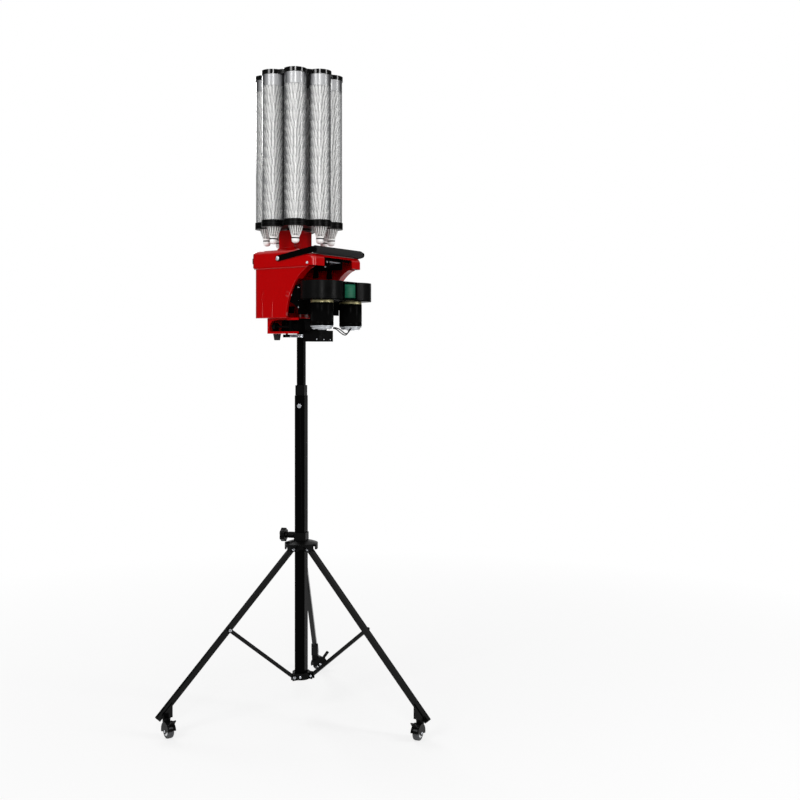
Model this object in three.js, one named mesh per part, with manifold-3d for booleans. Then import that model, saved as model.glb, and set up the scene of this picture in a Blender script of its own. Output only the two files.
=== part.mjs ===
// Badminton shuttlecock machine on a folding tripod with casters.
// Millimetres, +Z up. The machine throws toward -Y, and the mast stands on the Z axis of the
// design. The whole machine is moved at the end, so that the middle of its footprint is at 0, 0.

import * as THREE from 'three';
import { mergeVertices } from 'three/addons/utils/BufferGeometryUtils.js';
import Module from 'manifold-3d';

const wasm = await Module();
wasm.setup();

// Clearances and counts shared by all pieces
const gap = 0.3;
const overrun = 2;
const slack = 0.5;
const weldDistance = 1e-4;
const turn = Math.PI * 2;
const degree = Math.PI / 180;
const roundSides = 20;
const smallSides = 10;
const tubeSides = 16;

// Tripod: mast
const mastSide = 36;
const mastWall = 2;
const mastFootRise = 11;
const mastTop = 1108;
const mastTurn = 20 * degree;
const mastInnerSide = 25;
const mastInnerWall = 2;
const mastInnerDrop = 384;
const mastInnerReach = 201;
const mastCapHeight = 14;
const collarSide = 33;
const collarHeight = 36;
const collarSleeveDepth = 26;
const lockBoltDrop = 36;
const lockBoltRadius = 4;
const lockHeadRadius = 7.5;
const lockHeadHeight = 6;

// Tripod: legs, struts, hub and bracket
const legCount = 3;
const legTurn = -88 * degree;
const legTilt = 42.7 * degree;
const legSide = 17;
const legWall = 1.6;
const legLength = 699;
const legPlug = 9;
const hubPivotRadius = 35.5;
const hubPivotHeight = 574;
const strutJointReach = 341;
const strutDepth = 13;
const strutWidth = 9;
const bracketPivotRadius = 35;
const bracketPivotHeight = 131;
const pinRadius = 3;
const pinHeadRadius = 5.5;
const pinHeadHeight = 3;
const earThickness = 3;
const hubRimRadius = 58;
const hubRimWall = 5;
const hubRimDrop = 1;
const hubRoofRise = 15;
const hubRoofTopRise = 20;
const hubDomeRise = 29;
const hubCollarRadius = 28;
const hubSleeveSide = 43;
const hubSleeveCorner = 5;
const hubCollarRise = 56;
const knobTurn = 110 * degree;
const knobRise = 45;
const knobScrewRadius = 4;
const knobScrewTip = 18.5;
const knobRadius = 24;
const knobLobes = 6;
const knobLobeDepth = 3.5;
const knobThickness = 17;
const knobReach = 56;
const bracketRadius = 31;
const bracketDrop = 11;
const bracketRise = 12;
const bracketFloor = 7;

// Casters
const casterCircle = 480;
const casterWheelRadius = 24;
const casterTreadWidth = 20;
const casterAxleRadius = 4;
const casterTrail = 17;
const casterHeadings = [8 * degree, 154 * degree, 69 * degree];
const casterHoodRadius = 29.5;
const casterHoodWall = 2.5;
const casterHoodSpace = 2.6;
const casterSideSpace = 1.4;
const casterBossRadius = 8;
const casterPlateRadius = 14;
const casterPlateHeight = 60;
const casterPlateThickness = 4;
const casterNeckRadius = 13;
const casterStemRadius = 5;
const casterStemHeight = 10;
const brakeWidth = 17;
const brakeLength = 31;
const brakeThickness = 3.5;
const brakeLift = 48 * degree;
const brakeHeel = 1;
const brakePivotReach = 36;
const brakePivotHeight = 43;
const brakePinRadius = 2.2;
const wedgeReach = 17;
const wedgeWidth = 26;

// Head: pan drive and red base
const postRadius = 15;
const postRise = 59;
const gearModule = 2;
const gearTeeth = 38;
const pinionTeeth = 12;
const gearDrop = 12;
const gearThickness = 10;
const pinionTurn = 128.5 * degree;
const pinionShaftRadius = 4;
const pinionShaftRise = 17;
const toothBacklash = 0.5;
const pressureAngle = 20 * degree;
const baseHalfWidth = 105;
const baseFront = 38;
const baseRear = 72;
const baseRise = 14;
const baseHeight = 52.7;
const baseWall = 3;
const baseCorner = 12;
const windowRear = 52;
const windowFront = 22;
const windowFootRise = 8;
const windowTopRise = 48;
const bearingRadius = 27;
const bearingHeight = 20;
const panMotorRadius = 17;
const panMotorRise = 47;
const footHeight = 22;
const footRadius = 14;
const footTipRadius = 10;
const footX = 76;
const footY = 46;
const supportHalfWidth = 38;
const supportFront = 113;
const supportDrop = 27;
const supportRise = 11;
const supportBackRise = 47;
const supportBackDepth = 8;
const supportCorner = 6;
const elevationX = 86;
const elevationRise = 24;
const elevationRodRadius = 4;
const elevationKnobRadius = 14;
const elevationKnobRear = 50;
const elevationKnobLength = 12;
const elevationBoxFront = 64;
const elevationBoxHalf = 9;

// Head: red body shell, lid and neck
const shellHalfWidth = 130;
const shellRear = 115;
const shellWall = 3;
const shellLipReach = 6;
const shellLipDepth = 4;
const shellCorner = 34;
const lidHalfWidth = 137;
const lidRear = 121;
const lidFront = 162;
const shellHeight = 173;
const lidHeight = 58;
const lidCorner = 34;
const lidFrontCorner = 14;
const lidEdge = 20;
const lidSlopeStart = 88;
const archTop = 136;
const archFoot = 36;
const mouthHalfWidth = 79;
const mouthHeight = 30;
const dropHoleRadius = 41;
const neckHalfWidth = 49;
const neckFront = 8;
const neckRear = 60;
const neckHeight = 76;
const neckFlare = 12;
const neckFlareHeight = 16;
const neckWall = 3;
const inletX = 62;
const inletRise = 36;
const inletHalfWidth = 15;
const inletFlange = 3;
const inletDepth = 22;
const inletSocketDepth = 15;
const inletWall = 3.5;
const inletPinRadius = 1.6;
const switchX = 22;
const switchHalfWidth = 8;
const switchHalfHeight = 12;
const rockerDepth = 8;
const rockerRise = 3;
const rockerPinRadius = 1.8;

// Handle
const handlePivotFront = 12;
const handlePivotRise = 28;
const handleBarFront = 160;
const handleBarRise = 24;
const handleBarRadius = 9;
const handleGripRadius = 13.5;
const handleGripHalf = 131;
const handleArmHeight = 20;
const handleArmThickness = 5;
const handleBoltRadius = 4;
const handleBoltHeadRadius = 7;
const handleBoltHeadHeight = 4;

// Throwing unit
const tiltAxisFront = 45;
const tiltAxisRise = 79;
const tiltAxleRadius = 6;
const wheelX = 82;
const wheelFront = 153;
const wheelRadius = 69.5;
const wheelRise = 10;
const wheelThickness = 48;
const wheelHubRadius = 30;
const wheelHubStep = 8;
const wheelShaftRadius = 5;
const shroudRadius = 72.2;
const shroudWall = 1.5;
const shroudSpace = 6;
const shroudRoof = 3;
const shroudHubRadius = 12;
const shroudHubRise = 3;
const plateDrop = 21;
const plateThickness = 4.7;
const plateRear = 80.2;
const plateHalfWidth = 122;
const passageHalfWidth = 38;
const exitFront = 213.5;
const exitDepth = 6;
const exitFrame = 4;
const cheekX = 116;
const cheekThickness = 4;
const cheekDrop = 51;
const cheekRise = 33;
const cheekRear = 28;
const cheekFront = 86;
const rearPlateThickness = 4;
const rearPlateDrop = 67;
const rearPlateRise = 35;
const rearPlateHalfWidth = 112;
const feedNotchHalf = 42;
const feedNotchDrop = 5;
const motorRadius = 39.5;
const motorDrop = 8;
const motorLength = 76;
const motorEndHeight = 15;
const motorEndRadius = 38;
const motorRingRadius = 39;
const motorRingHeight = 7.4;
const leadRadius = 1.9;
const leadSides = 3;
const leadSteps = 16;

// Feeder
const feederHalfWidth = 39;
const feederWall = 3;
const feederRear = 52;
const feederFront = 150;
const feederDrop = 6;
const feederFlangeRise = 29;
const feederFlangeHeight = 8;
const clawFront = 142;
const clawRise = 18;
const clawRodRadius = 3;
const clawX = 15;
const clawLength = 34;
const clawThickness = 5;
const clawDepth = 8;
const clawDroop = 14 * degree;

// Carousel
const carouselY = 10;
const tubeCount = 8;
const tubeTurn = -147.7 * degree;
const tubeCircle = 113;
const tubeRadius = 38;
const tubeWall = 1.5;
const lobeRadius = 40.5;
const carouselRise = 5;
const carouselPlate = 11;
const carouselCollar = 11.4;
const carouselHubRadius = 44;
const carouselShaftRadius = 12;
const carouselShaftDrop = 43;
const carouselPostRadius = 9;
const tubeHeight = 515;
const ringHeight = 18;
const ringLip = 2;
const ringSeat = 8;
const tubeBore = 35;

// Feather shuttles, nested in each tube
const corkDrop = 58;
const corkRadius = 13;
const corkLength = 25;
const skirtRadius = 33.2;
const shuttleLength = 86;
const nestPitch = 30;
const nestStep = 4.5;
const nestCount = 15;
const stackSides = 8;

// Lengths worked out from the values above
const clear = gap;
const floorHeight = 0;
const bracketFoot = bracketPivotHeight - bracketDrop;
const bracketTop = bracketPivotHeight + bracketRise;
const mastFoot = bracketFoot + mastFootRise;
const mastInnerTop = mastTop + mastInnerReach;
const mastInnerFoot = mastTop - mastInnerDrop;
const lockBoltHeight = mastTop - lockBoltDrop;
const hubRimFoot = hubPivotHeight - hubRimDrop;
const hubRoofHeight = hubPivotHeight + hubRoofRise;
const hubRoofTop = hubPivotHeight + hubRoofTopRise;
const hubDomeTop = hubPivotHeight + hubDomeRise;
const hubCollarTop = hubPivotHeight + hubCollarRise;
const knobHeight = hubPivotHeight + knobRise;
const postTop = mastInnerTop + postRise;
const baseFoot = mastInnerTop + baseRise;
const gearFoot = baseFoot - gearDrop;
const pinionShaftTop = baseFoot + pinionShaftRise;
const windowFoot = baseFoot + windowFootRise;
const windowTop = baseFoot + windowTopRise;
const panMotorTop = baseFoot + panMotorRise;
const supportFoot = baseFoot - supportDrop;
const supportTop = baseFoot + supportRise;
const supportBackTop = baseFoot + supportBackRise;
const elevationHeight = baseFoot + elevationRise;
const shellFoot = baseFoot + baseHeight + clear;
const inletHeight = shellFoot + inletRise;
const lidFoot = shellFoot + shellHeight;
const lidTop = lidFoot + lidHeight;
const mouthTop = lidFoot + mouthHeight;
const neckTop = lidTop + neckHeight;
const handlePivotHeight = lidFoot + handlePivotRise;
const handleBarHeight = handlePivotHeight + handleBarRise;
const tiltAxisHeight = shellFoot + tiltAxisRise;
const plateFoot = tiltAxisHeight - plateDrop;
const plateTop = plateFoot + plateThickness;
const wheelFoot = plateFoot + wheelRise;
const wheelTop = wheelFoot + wheelThickness;
const shroudTop = wheelTop + shroudSpace;
const cheekFoot = tiltAxisHeight - cheekDrop;
const cheekTop = tiltAxisHeight + cheekRise;
const rearPlateFoot = tiltAxisHeight - rearPlateDrop;
const rearPlateTop = tiltAxisHeight + rearPlateRise;
const feedNotchFoot = tiltAxisHeight - feedNotchDrop;
const motorTop = plateFoot - motorDrop;
const motorFoot = motorTop - motorLength;
const motorEndFoot = motorFoot - motorEndHeight;
const feederFoot = lidFoot - feederDrop;
const feederFlangeTop = lidFoot + feederFlangeRise;
const clawHeight = lidFoot + clawRise;
const carouselFoot = neckTop + carouselRise;
const carouselShaftFoot = neckTop - carouselShaftDrop;
const ringFoot = carouselFoot + tubeHeight;
const ringTop = ringFoot + ringHeight;
const corkFoot = carouselFoot - corkDrop;
const pivotSine = Math.sin(legTilt);
const pivotCosine = Math.cos(legTilt);
const strutJointRadius = hubPivotRadius + strutJointReach * pivotSine;
const strutJointHeight = hubPivotHeight - strutJointReach * pivotCosine;
const strutLength = Math.hypot(
  strutJointRadius - bracketPivotRadius, strutJointHeight - bracketPivotHeight);
const strutTilt = Math.atan2(
  strutJointRadius - bracketPivotRadius, strutJointHeight - bracketPivotHeight);
const strutOffset = legSide / 2 + slack + strutWidth / 2;
const gearRadius = gearModule * gearTeeth / 2;
const pinionRadius = gearModule * pinionTeeth / 2;
const gripSeat = handleGripRadius + clear;
const gripReach = handleBarFront - lidSlopeStart;
const gripDrop = lidTop - handleBarHeight;
const lidSlope = Math.tan(
  Math.atan2(gripDrop, gripReach) + Math.asin((gripSeat + slack) / Math.hypot(gripReach, gripDrop)));
const lidFrontTop = lidTop - lidSlope * (lidFront - lidSlopeStart);
const pinionX = (gearRadius + pinionRadius + clear) * Math.cos(pinionTurn);
const pinionY = (gearRadius + pinionRadius + clear) * Math.sin(pinionTurn);

// Turns a geometry into a closed solid for a cut or a join.
function solidFrom(geometry) {
  const bare = geometry.clone();
  bare.deleteAttribute('normal');
  bare.deleteAttribute('uv');
  const merged = mergeVertices(bare, weldDistance);
  return new wasm.Manifold(new wasm.Mesh({
    numProp: 3,
    vertProperties: new Float32Array(merged.attributes.position.array),
    triVerts: new Uint32Array(merged.index.array),
  }));
}

// Turns a solid back into a geometry.
function geometryFrom(solid) {
  const mesh = solid.getMesh();
  const geometry = new THREE.BufferGeometry();
  const places = new Float32Array(mesh.vertProperties);
  geometry.setAttribute('position', new THREE.BufferAttribute(places, 3));
  geometry.setIndex(new THREE.BufferAttribute(new Uint32Array(mesh.triVerts), 1));
  return geometry;
}

function join(...pieces) {
  return geometryFrom(pieces.map(solidFrom).reduce((sum, piece) => sum.add(piece)));
}

function cut(body, ...tools) {
  return geometryFrom(tools.map(solidFrom).reduce((rest, tool) => rest.subtract(tool), solidFrom(body)));
}

function common(...pieces) {
  return geometryFrom(pieces.map(solidFrom).reduce((shared, piece) => shared.intersect(piece)));
}

// A box between a low and a high value on each axis.
function block([x0, x1], [y0, y1], [z0, z1]) {
  const geometry = new THREE.BoxGeometry(x1 - x0, y1 - y0, z1 - z0);
  return geometry.translate((x0 + x1) / 2, (y0 + y1) / 2, (z0 + z1) / 2);
}

// A round bar along Z between two heights.
function rod(radius, [z0, z1], sides = roundSides) {
  const geometry = new THREE.CylinderGeometry(radius, radius, z1 - z0, sides);
  return geometry.rotateX(Math.PI / 2).translate(0, 0, (z0 + z1) / 2);
}

// A round bar along X or along Y.
function rodX(radius, [x0, x1], y, z, sides = roundSides) {
  return rod(radius, [x0, x1], sides).rotateY(Math.PI / 2).translate(0, y, z);
}

function rodY(radius, [y0, y1], x, z, sides = roundSides) {
  return rod(radius, [y0, y1], sides).rotateX(-Math.PI / 2).translate(x, 0, z);
}

// A tapered round bar along Z.
function cone(lowRadius, highRadius, [z0, z1], sides = roundSides) {
  const geometry = new THREE.CylinderGeometry(highRadius, lowRadius, z1 - z0, sides);
  return geometry.rotateX(Math.PI / 2).translate(0, 0, (z0 + z1) / 2);
}

// A profile of radius and height turned about Z.
function turned(profile, sides = roundSides) {
  const points = profile.map(([radius, height]) => new THREE.Vector2(radius, height));
  return new THREE.LatheGeometry(points, sides).rotateX(Math.PI / 2);
}

// A plan outline raised between two heights.
function raised(shape, [z0, z1], curveSegments = 6) {
  const options = { depth: z1 - z0, bevelEnabled: false, curveSegments };
  return new THREE.ExtrudeGeometry(shape, options).translate(0, 0, z0);
}

// A side outline of y and z, stretched along X.
function sideways(shape, [x0, x1], curveSegments = 6) {
  const options = { depth: x1 - x0, bevelEnabled: false, curveSegments };
  const basis = new THREE.Matrix4().makeBasis(
    new THREE.Vector3(0, 1, 0), new THREE.Vector3(0, 0, 1), new THREE.Vector3(1, 0, 0));
  return new THREE.ExtrudeGeometry(shape, options).applyMatrix4(basis).translate(x0, 0, 0);
}

// A front outline of x and z, stretched along Y.
function frontward(shape, [y0, y1], curveSegments = 6) {
  const options = { depth: y1 - y0, bevelEnabled: false, curveSegments };
  const basis = new THREE.Matrix4().makeBasis(
    new THREE.Vector3(1, 0, 0), new THREE.Vector3(0, 0, 1), new THREE.Vector3(0, -1, 0));
  return new THREE.ExtrudeGeometry(shape, options).applyMatrix4(basis).translate(0, y1, 0);
}

// A rectangle with its own radius at each corner, from low left and on counterclockwise.
function roundedOutline([x0, x1], [y0, y1], [a, b, c, d]) {
  const shape = new THREE.Shape();
  const corners = [[x0, y0, a], [x1, y0, b], [x1, y1, c], [x0, y1, d]];
  const centreSides = [[1, 1], [-1, 1], [-1, -1], [1, -1]];
  corners.forEach(([x, y, radius], index) => {
    const start = Math.PI + index * Math.PI / 2;
    const [sideX, sideY] = centreSides[index];
    if (radius > 0) {
      shape.absarc(x + sideX * radius, y + sideY * radius, radius, start, start + Math.PI / 2, false);
    } else if (index === 0) {
      shape.moveTo(x, y);
    } else {
      shape.lineTo(x, y);
    }
  });
  return shape;
}

function polygon(points) {
  return new THREE.Shape(points.map(([x, y]) => new THREE.Vector2(x, y)));
}

function squareBar(side, [z0, z1]) {
  return block([-side / 2, side / 2], [-side / 2, side / 2], [z0, z1]);
}

// Nodes are collected in one group.
const machine = new THREE.Group();

function finish(color, roughness, metalness) {
  return new THREE.MeshStandardMaterial({ color, roughness, metalness });
}

const blackPaint = () => finish('#101010', 0.35, 0.2);
const blackPlastic = () => finish('#17181a', 0.5, 0);
const redPaint = () => finish('#b3090d', 0.18, 0);
const brightSteel = () => finish('#c9ccd0', 0.25, 1);
const rubber = () => finish('#151515', 0.9, 0);

// A node keeps its largest body, so that a sliver left by a cut is not carried along.
function mainBody(geometry) {
  const bodies = solidFrom(geometry).decompose();
  return geometryFrom(bodies.reduce((best, body) => (body.volume() > best.volume() ? body : best)));
}

function add(name, geometry, material, angle = 0) {
  const mesh = new THREE.Mesh(mainBody(geometry), material);
  mesh.name = name;
  mesh.rotation.z = angle;
  machine.add(mesh);
  return mesh;
}

// Mast: two square tubes, the inner one closed by a cap that carries the round pan post.
function mastOuter() {
  const body = squareBar(mastSide, [mastFoot, mastTop]);
  const bore = squareBar(mastSide - 2 * mastWall, [mastFoot - overrun, mastTop + overrun]);
  const boltHole = rodX(
    lockBoltRadius + clear, [mastSide / 2 - mastWall - overrun, mastSide / 2 + overrun],
    0, lockBoltHeight, smallSides);
  return cut(body, bore, boltHole.rotateZ(Math.PI));
}

function mastInner() {
  const body = squareBar(mastInnerSide, [mastInnerFoot, mastInnerTop]);
  const bore = squareBar(
    mastInnerSide - 2 * mastInnerWall, [mastInnerFoot - overrun, mastInnerTop - mastCapHeight]);
  return join(cut(body, bore), rod(postRadius, [mastInnerTop - overrun, postTop]));
}

// Collar: a plastic guide that caps the outer mast and reaches down inside it.
function mastCollar() {
  const rim = squareBar(collarSide, [mastTop + clear, mastTop + collarHeight]);
  const sleeve = squareBar(
    mastSide - 2 * mastWall - 2 * clear, [mastTop - collarSleeveDepth, mastTop + collarHeight]);
  const bore = squareBar(
    mastInnerSide + 2 * clear, [mastTop - collarSleeveDepth - overrun, mastTop + collarHeight + overrun]);
  return cut(join(rim, sleeve), bore);
}

// Lock bolt: its tip stops just short of the inner mast.
function lockBolt() {
  const outside = mastSide / 2 + clear;
  const shank = rodX(
    lockBoltRadius, [mastInnerSide / 2 + clear, outside + overrun], 0, lockBoltHeight, smallSides);
  const head = rodX(lockHeadRadius, [outside, outside + lockHeadHeight], 0, lockBoltHeight, smallSides);
  return join(shank, head).rotateZ(Math.PI);
}

// The bracket at the foot of the mast holds the lower ends of the three struts.
function eachLeg(make) {
  return Array.from({ length: legCount }, (_, index) => {
    const angle = legTurn + index * turn / legCount;
    return make(angle, index);
  });
}

function strutEars() {
  const inner = strutOffset - strutWidth / 2 - clear;
  const outer = strutOffset + strutWidth / 2 + clear;
  const reach = bracketPivotRadius + strutDepth / 2;
  const rows = [[inner - earThickness, inner], [outer, outer + earThickness]];
  return rows.map((row) => block([bracketRadius / 2, reach], row, [bracketFoot, bracketTop]));
}

function bottomBracket() {
  const cup = rod(bracketRadius, [bracketFoot, bracketTop]);
  const socket = squareBar(mastSide + 2 * clear, [bracketFoot + bracketFloor, bracketTop + overrun]);
  socket.rotateZ(mastTurn);
  const pieces = eachLeg((angle) => strutEars().map((ear) => ear.rotateZ(angle))).flat();
  const reach = bracketPivotRadius + strutDepth;
  const slots = eachLeg((angle) => block(
    [bracketPivotRadius - strutDepth / 2 - overrun, reach],
    [strutOffset - strutWidth / 2 - clear, strutOffset + strutWidth / 2 + clear],
    [bracketFoot - overrun, bracketTop + overrun]).rotateZ(angle));
  const low = strutOffset - strutWidth / 2 - clear - earThickness;
  const high = strutOffset + strutWidth / 2 + clear + earThickness;
  const pins = eachLeg((angle) => {
    const shank = rodY(
      pinRadius, [low + slack, high + overrun], bracketPivotRadius, bracketPivotHeight, smallSides);
    const head = rodY(
      pinHeadRadius, [high - slack, high + pinHeadHeight],
      bracketPivotRadius, bracketPivotHeight, smallSides);
    return join(shank, head).rotateZ(angle);
  });
  return join(cut(join(cup, ...pieces), socket, ...slots), ...pins);
}

// Strut: a flat bar with round ends. Its upper bolt ends just short of the leg's side.
function strut() {
  const half = strutDepth / 2;
  const outline = new THREE.Shape();
  outline.absarc(0, 0, half, Math.PI, 0, false);
  outline.absarc(0, strutLength, half, 0, Math.PI, false);
  const bar = frontward(outline, [strutOffset - strutWidth / 2, strutOffset + strutWidth / 2], 4);
  const low = strutOffset - strutWidth / 2;
  const high = strutOffset + strutWidth / 2;
  const hole = rodY(pinRadius + clear, [low - overrun, high + overrun], 0, 0, smallSides);
  const bolt = rodY(
    pinHeadRadius, [high - overrun, high + pinHeadHeight], 0, strutLength, smallSides);
  const body = join(cut(bar, hole), bolt);
  return body.rotateY(strutTilt).translate(bracketPivotRadius, 0, bracketPivotHeight);
}

// Leg: a square tube with its plug, and the wedge that its caster hangs from.
function leg() {
  const half = legSide / 2;
  const outline = roundedOutline([-half, half], [-legLength, half + slack], [0, 0, half, half]);
  const tube = frontward(outline, [-half, half], 4);
  const bore = block(
    [-half + legWall, half - legWall], [-half + legWall, half - legWall],
    [-legLength + legPlug, half + overrun]);
  const hole = rodY(pinRadius + clear, [-half - overrun, half + overrun], 0, 0, smallSides);
  const body = cut(tube, bore, hole).rotateY(-legTilt);
  body.translate(hubPivotRadius, 0, hubPivotHeight);
  const axisHeight = (radius) => hubPivotHeight - (radius - hubPivotRadius) / Math.tan(legTilt);
  const low = casterPlateHeight + casterPlateThickness;
  const inner = casterCircle - wedgeReach;
  const outer = casterCircle + wedgeReach;
  const wedge = sideways(polygon([
    [inner, low], [outer, low], [outer, axisHeight(outer)], [inner, axisHeight(inner)],
  ]), [-wedgeWidth / 2, wedgeWidth / 2]).rotateZ(-Math.PI / 2);
  const above = sideways(polygon([
    [inner - overrun, axisHeight(inner - overrun)],
    [outer + overrun, axisHeight(outer + overrun)],
    [outer + overrun, axisHeight(inner - overrun)],
  ]), [-wedgeWidth, wedgeWidth]).rotateZ(-Math.PI / 2);
  const stemHole = rod(
    casterStemRadius + clear, [low - overrun, low + casterStemHeight + clear], smallSides);
  stemHole.translate(casterCircle, 0, 0);
  return cut(join(body, cut(wedge, above)), stemHole);
}

// Hub: a domed cap with a rim, open below for the legs, and the collar that slides on the mast.
function hub() {
  const dome = turned([
    [0, hubRoofHeight], [hubRimRadius, hubRoofHeight], [hubRimRadius, hubRoofTop],
    [hubRimRadius - (hubRimRadius - hubCollarRadius) / 2, (hubRoofTop + hubDomeTop) / 2 + slack],
    [hubCollarRadius, hubDomeTop], [0, hubDomeTop],
  ]);
  const skirt = turned([
    [hubRimRadius - hubRimWall, hubRimFoot], [hubRimRadius, hubRimFoot],
    [hubRimRadius, hubRoofHeight + slack], [hubRimRadius - hubRimWall, hubRoofHeight + slack],
    [hubRimRadius - hubRimWall, hubRimFoot],
  ]);
  const core = rod(hubCollarRadius - clear, [hubRimFoot, hubRoofTop]);
  const sleeveHalf = hubSleeveSide / 2;
  const sleeveCorners = Array(4).fill(hubSleeveCorner);
  const sleeve = raised(
    roundedOutline([-sleeveHalf, sleeveHalf], [-sleeveHalf, sleeveHalf], sleeveCorners),
    [hubRoofHeight, hubCollarTop], 3).rotateZ(mastTurn);
  const earLow = legSide / 2 + clear;
  const earReach = hubPivotRadius + legSide / 2;
  const earFoot = hubPivotHeight - legSide / 2;
  const ears = eachLeg((angle) => [1, -1].map((side) => {
    const row = [side * earLow, side * (earLow + earThickness)].sort((p, q) => p - q);
    return block([hubCollarRadius / 2, earReach], row, [earFoot, hubRoofTop - slack]).rotateZ(angle);
  })).flat();
  const slots = eachLeg((angle) => block(
    [hubPivotRadius - legSide / 2 - 2 * overrun, hubRimRadius + legSide],
    [-legSide / 2 - clear, legSide / 2 + clear],
    [earFoot - overrun, hubRoofHeight]).rotateZ(angle));
  const arches = eachLeg((angle) => rodX(
    legSide / 2, [hubCollarRadius + overrun, hubRimRadius + overrun],
    0, hubRimFoot, smallSides).rotateZ(angle + turn / (2 * legCount)));
  const bore = squareBar(mastSide + 2 * clear, [earFoot - overrun, hubCollarTop + overrun]);
  bore.rotateZ(mastTurn);
  const pinReach = earLow + earThickness;
  const pins = eachLeg((angle) => {
    const rows = [
      [-pinReach - pinHeadHeight, slack - pinReach], [pinReach - slack, pinReach + pinHeadHeight]];
    const heads = rows.map((row) => rodY(
      pinHeadRadius, row, hubPivotRadius, hubPivotHeight, smallSides));
    const shank = rodY(
      pinRadius, [-pinReach - slack, pinReach + slack], hubPivotRadius, hubPivotHeight, smallSides);
    return join(shank, ...heads).rotateZ(angle);
  });
  const boss = rodX(
    knobScrewRadius + hubRimWall, [hubCollarRadius / 2, hubCollarRadius + 2 * hubRimWall],
    0, knobHeight, smallSides).rotateZ(knobTurn);
  const screwHole = rodX(
    knobScrewRadius + clear, [knobScrewTip - 2 * overrun, hubCollarRadius + 2 * hubRimWall + overrun],
    0, knobHeight, smallSides).rotateZ(knobTurn);
  const body = cut(join(dome, skirt, core, sleeve, boss, ...ears), bore, ...slots, ...arches, screwHole);
  return join(body, ...pins);
}

// Star knob: a lobed grip on a screw that points at the mast.
function hubKnob() {
  const points = Array.from({ length: knobLobes * 8 }, (_, index) => {
    const angle = index * turn / (knobLobes * 8);
    const radius = knobRadius - knobLobeDepth * (1 - Math.cos(angle * knobLobes)) / 2;
    return [radius * Math.cos(angle), radius * Math.sin(angle)];
  });
  const grip = raised(polygon(points), [knobReach, knobReach + knobThickness]);
  const neck = cone(
    knobScrewRadius + overrun, knobRadius / 2,
    [hubCollarRadius + 2 * hubRimWall + overrun, knobReach + slack], smallSides);
  const screw = rod(knobScrewRadius, [knobScrewTip, knobReach + slack], smallSides);
  const knob = join(grip, neck, screw).rotateY(Math.PI / 2);
  return knob.translate(0, 0, knobHeight).rotateZ(knobTurn);
}

// Caster fork: plate, hood over the wheel, two cheeks and the axle.
function casterFork() {
  const halfInside = casterTreadWidth / 2 + casterSideSpace;
  const halfOutside = halfInside + casterHoodWall;
  const outline = new THREE.Shape();
  outline.absarc(-casterTrail, casterWheelRadius, casterHoodRadius, -slack / 2, Math.PI * 0.94, false);
  outline.absarc(
    -casterTrail, casterWheelRadius, casterBossRadius, Math.PI * 1.1, Math.PI * 1.9, false);
  const hood = frontward(outline, [-halfOutside, halfOutside], 6);
  const space = rodY(
    casterHoodRadius - casterHoodSpace, [-halfInside, halfInside], -casterTrail, casterWheelRadius,
    tubeSides);
  const below = block(
    [-casterTrail - casterHoodRadius, -casterTrail + casterHoodRadius], [-halfInside, halfInside],
    [0, casterWheelRadius]);
  const neck = rod(
    casterNeckRadius, [casterPlateHeight - casterNeckRadius, casterPlateHeight + slack]);
  const plate = rod(
    casterPlateRadius, [casterPlateHeight, casterPlateHeight + casterPlateThickness - clear]);
  const stem = rod(
    casterStemRadius,
    [casterPlateHeight, casterPlateHeight + casterPlateThickness + casterStemHeight], smallSides);
  const axle = rodY(
    casterAxleRadius, [-halfOutside - slack, halfOutside + slack], -casterTrail, casterWheelRadius,
    smallSides);
  const slot = block(
    [-brakePivotReach - brakeLength, -casterTrail - casterWheelRadius / 2],
    [-brakeWidth / 2 - slack, brakeWidth / 2 + slack],
    [brakePivotHeight - brakeThickness * 2, brakePivotHeight + brakeThickness * 2]);
  const pinHole = rodY(
    brakePinRadius + clear, [-halfOutside - overrun, halfOutside + overrun],
    -brakePivotReach, brakePivotHeight, smallSides);
  const body = cut(join(hood, neck), space, below, slot, pinHole);
  return join(body, plate, stem, axle);
}

function casterWheel() {
  const half = casterTreadWidth / 2;
  const crown = casterWheelRadius - slack;
  const bore = casterAxleRadius + clear;
  const hubFace = half - overrun;
  const hubRim = casterWheelRadius * 0.66;
  const wheel = turned([
    [bore, -hubFace], [hubRim, -hubFace], [hubRim + slack, -half], [crown - overrun, -half],
    [casterWheelRadius, -half + overrun], [casterWheelRadius, half - overrun],
    [crown - overrun, half], [hubRim + slack, half], [hubRim, hubFace], [bore, hubFace],
    [bore, -hubFace],
  ]);
  return wheel.rotateX(Math.PI / 2).rotateY(Math.PI / 2);
}

function casterBrake() {
  const pedal = block(
    [-brakeLength, brakeHeel], [-brakeWidth / 2, brakeWidth / 2],
    [-brakeThickness / 2, brakeThickness / 2]).rotateY(brakeLift);
  pedal.translate(-brakePivotReach, 0, brakePivotHeight);
  const halfOutside = casterTreadWidth / 2 + casterSideSpace + casterHoodWall;
  const pin = rodY(
    brakePinRadius, [-halfOutside, halfOutside], -brakePivotReach, brakePivotHeight, smallSides);
  return join(pedal, pin);
}

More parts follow.
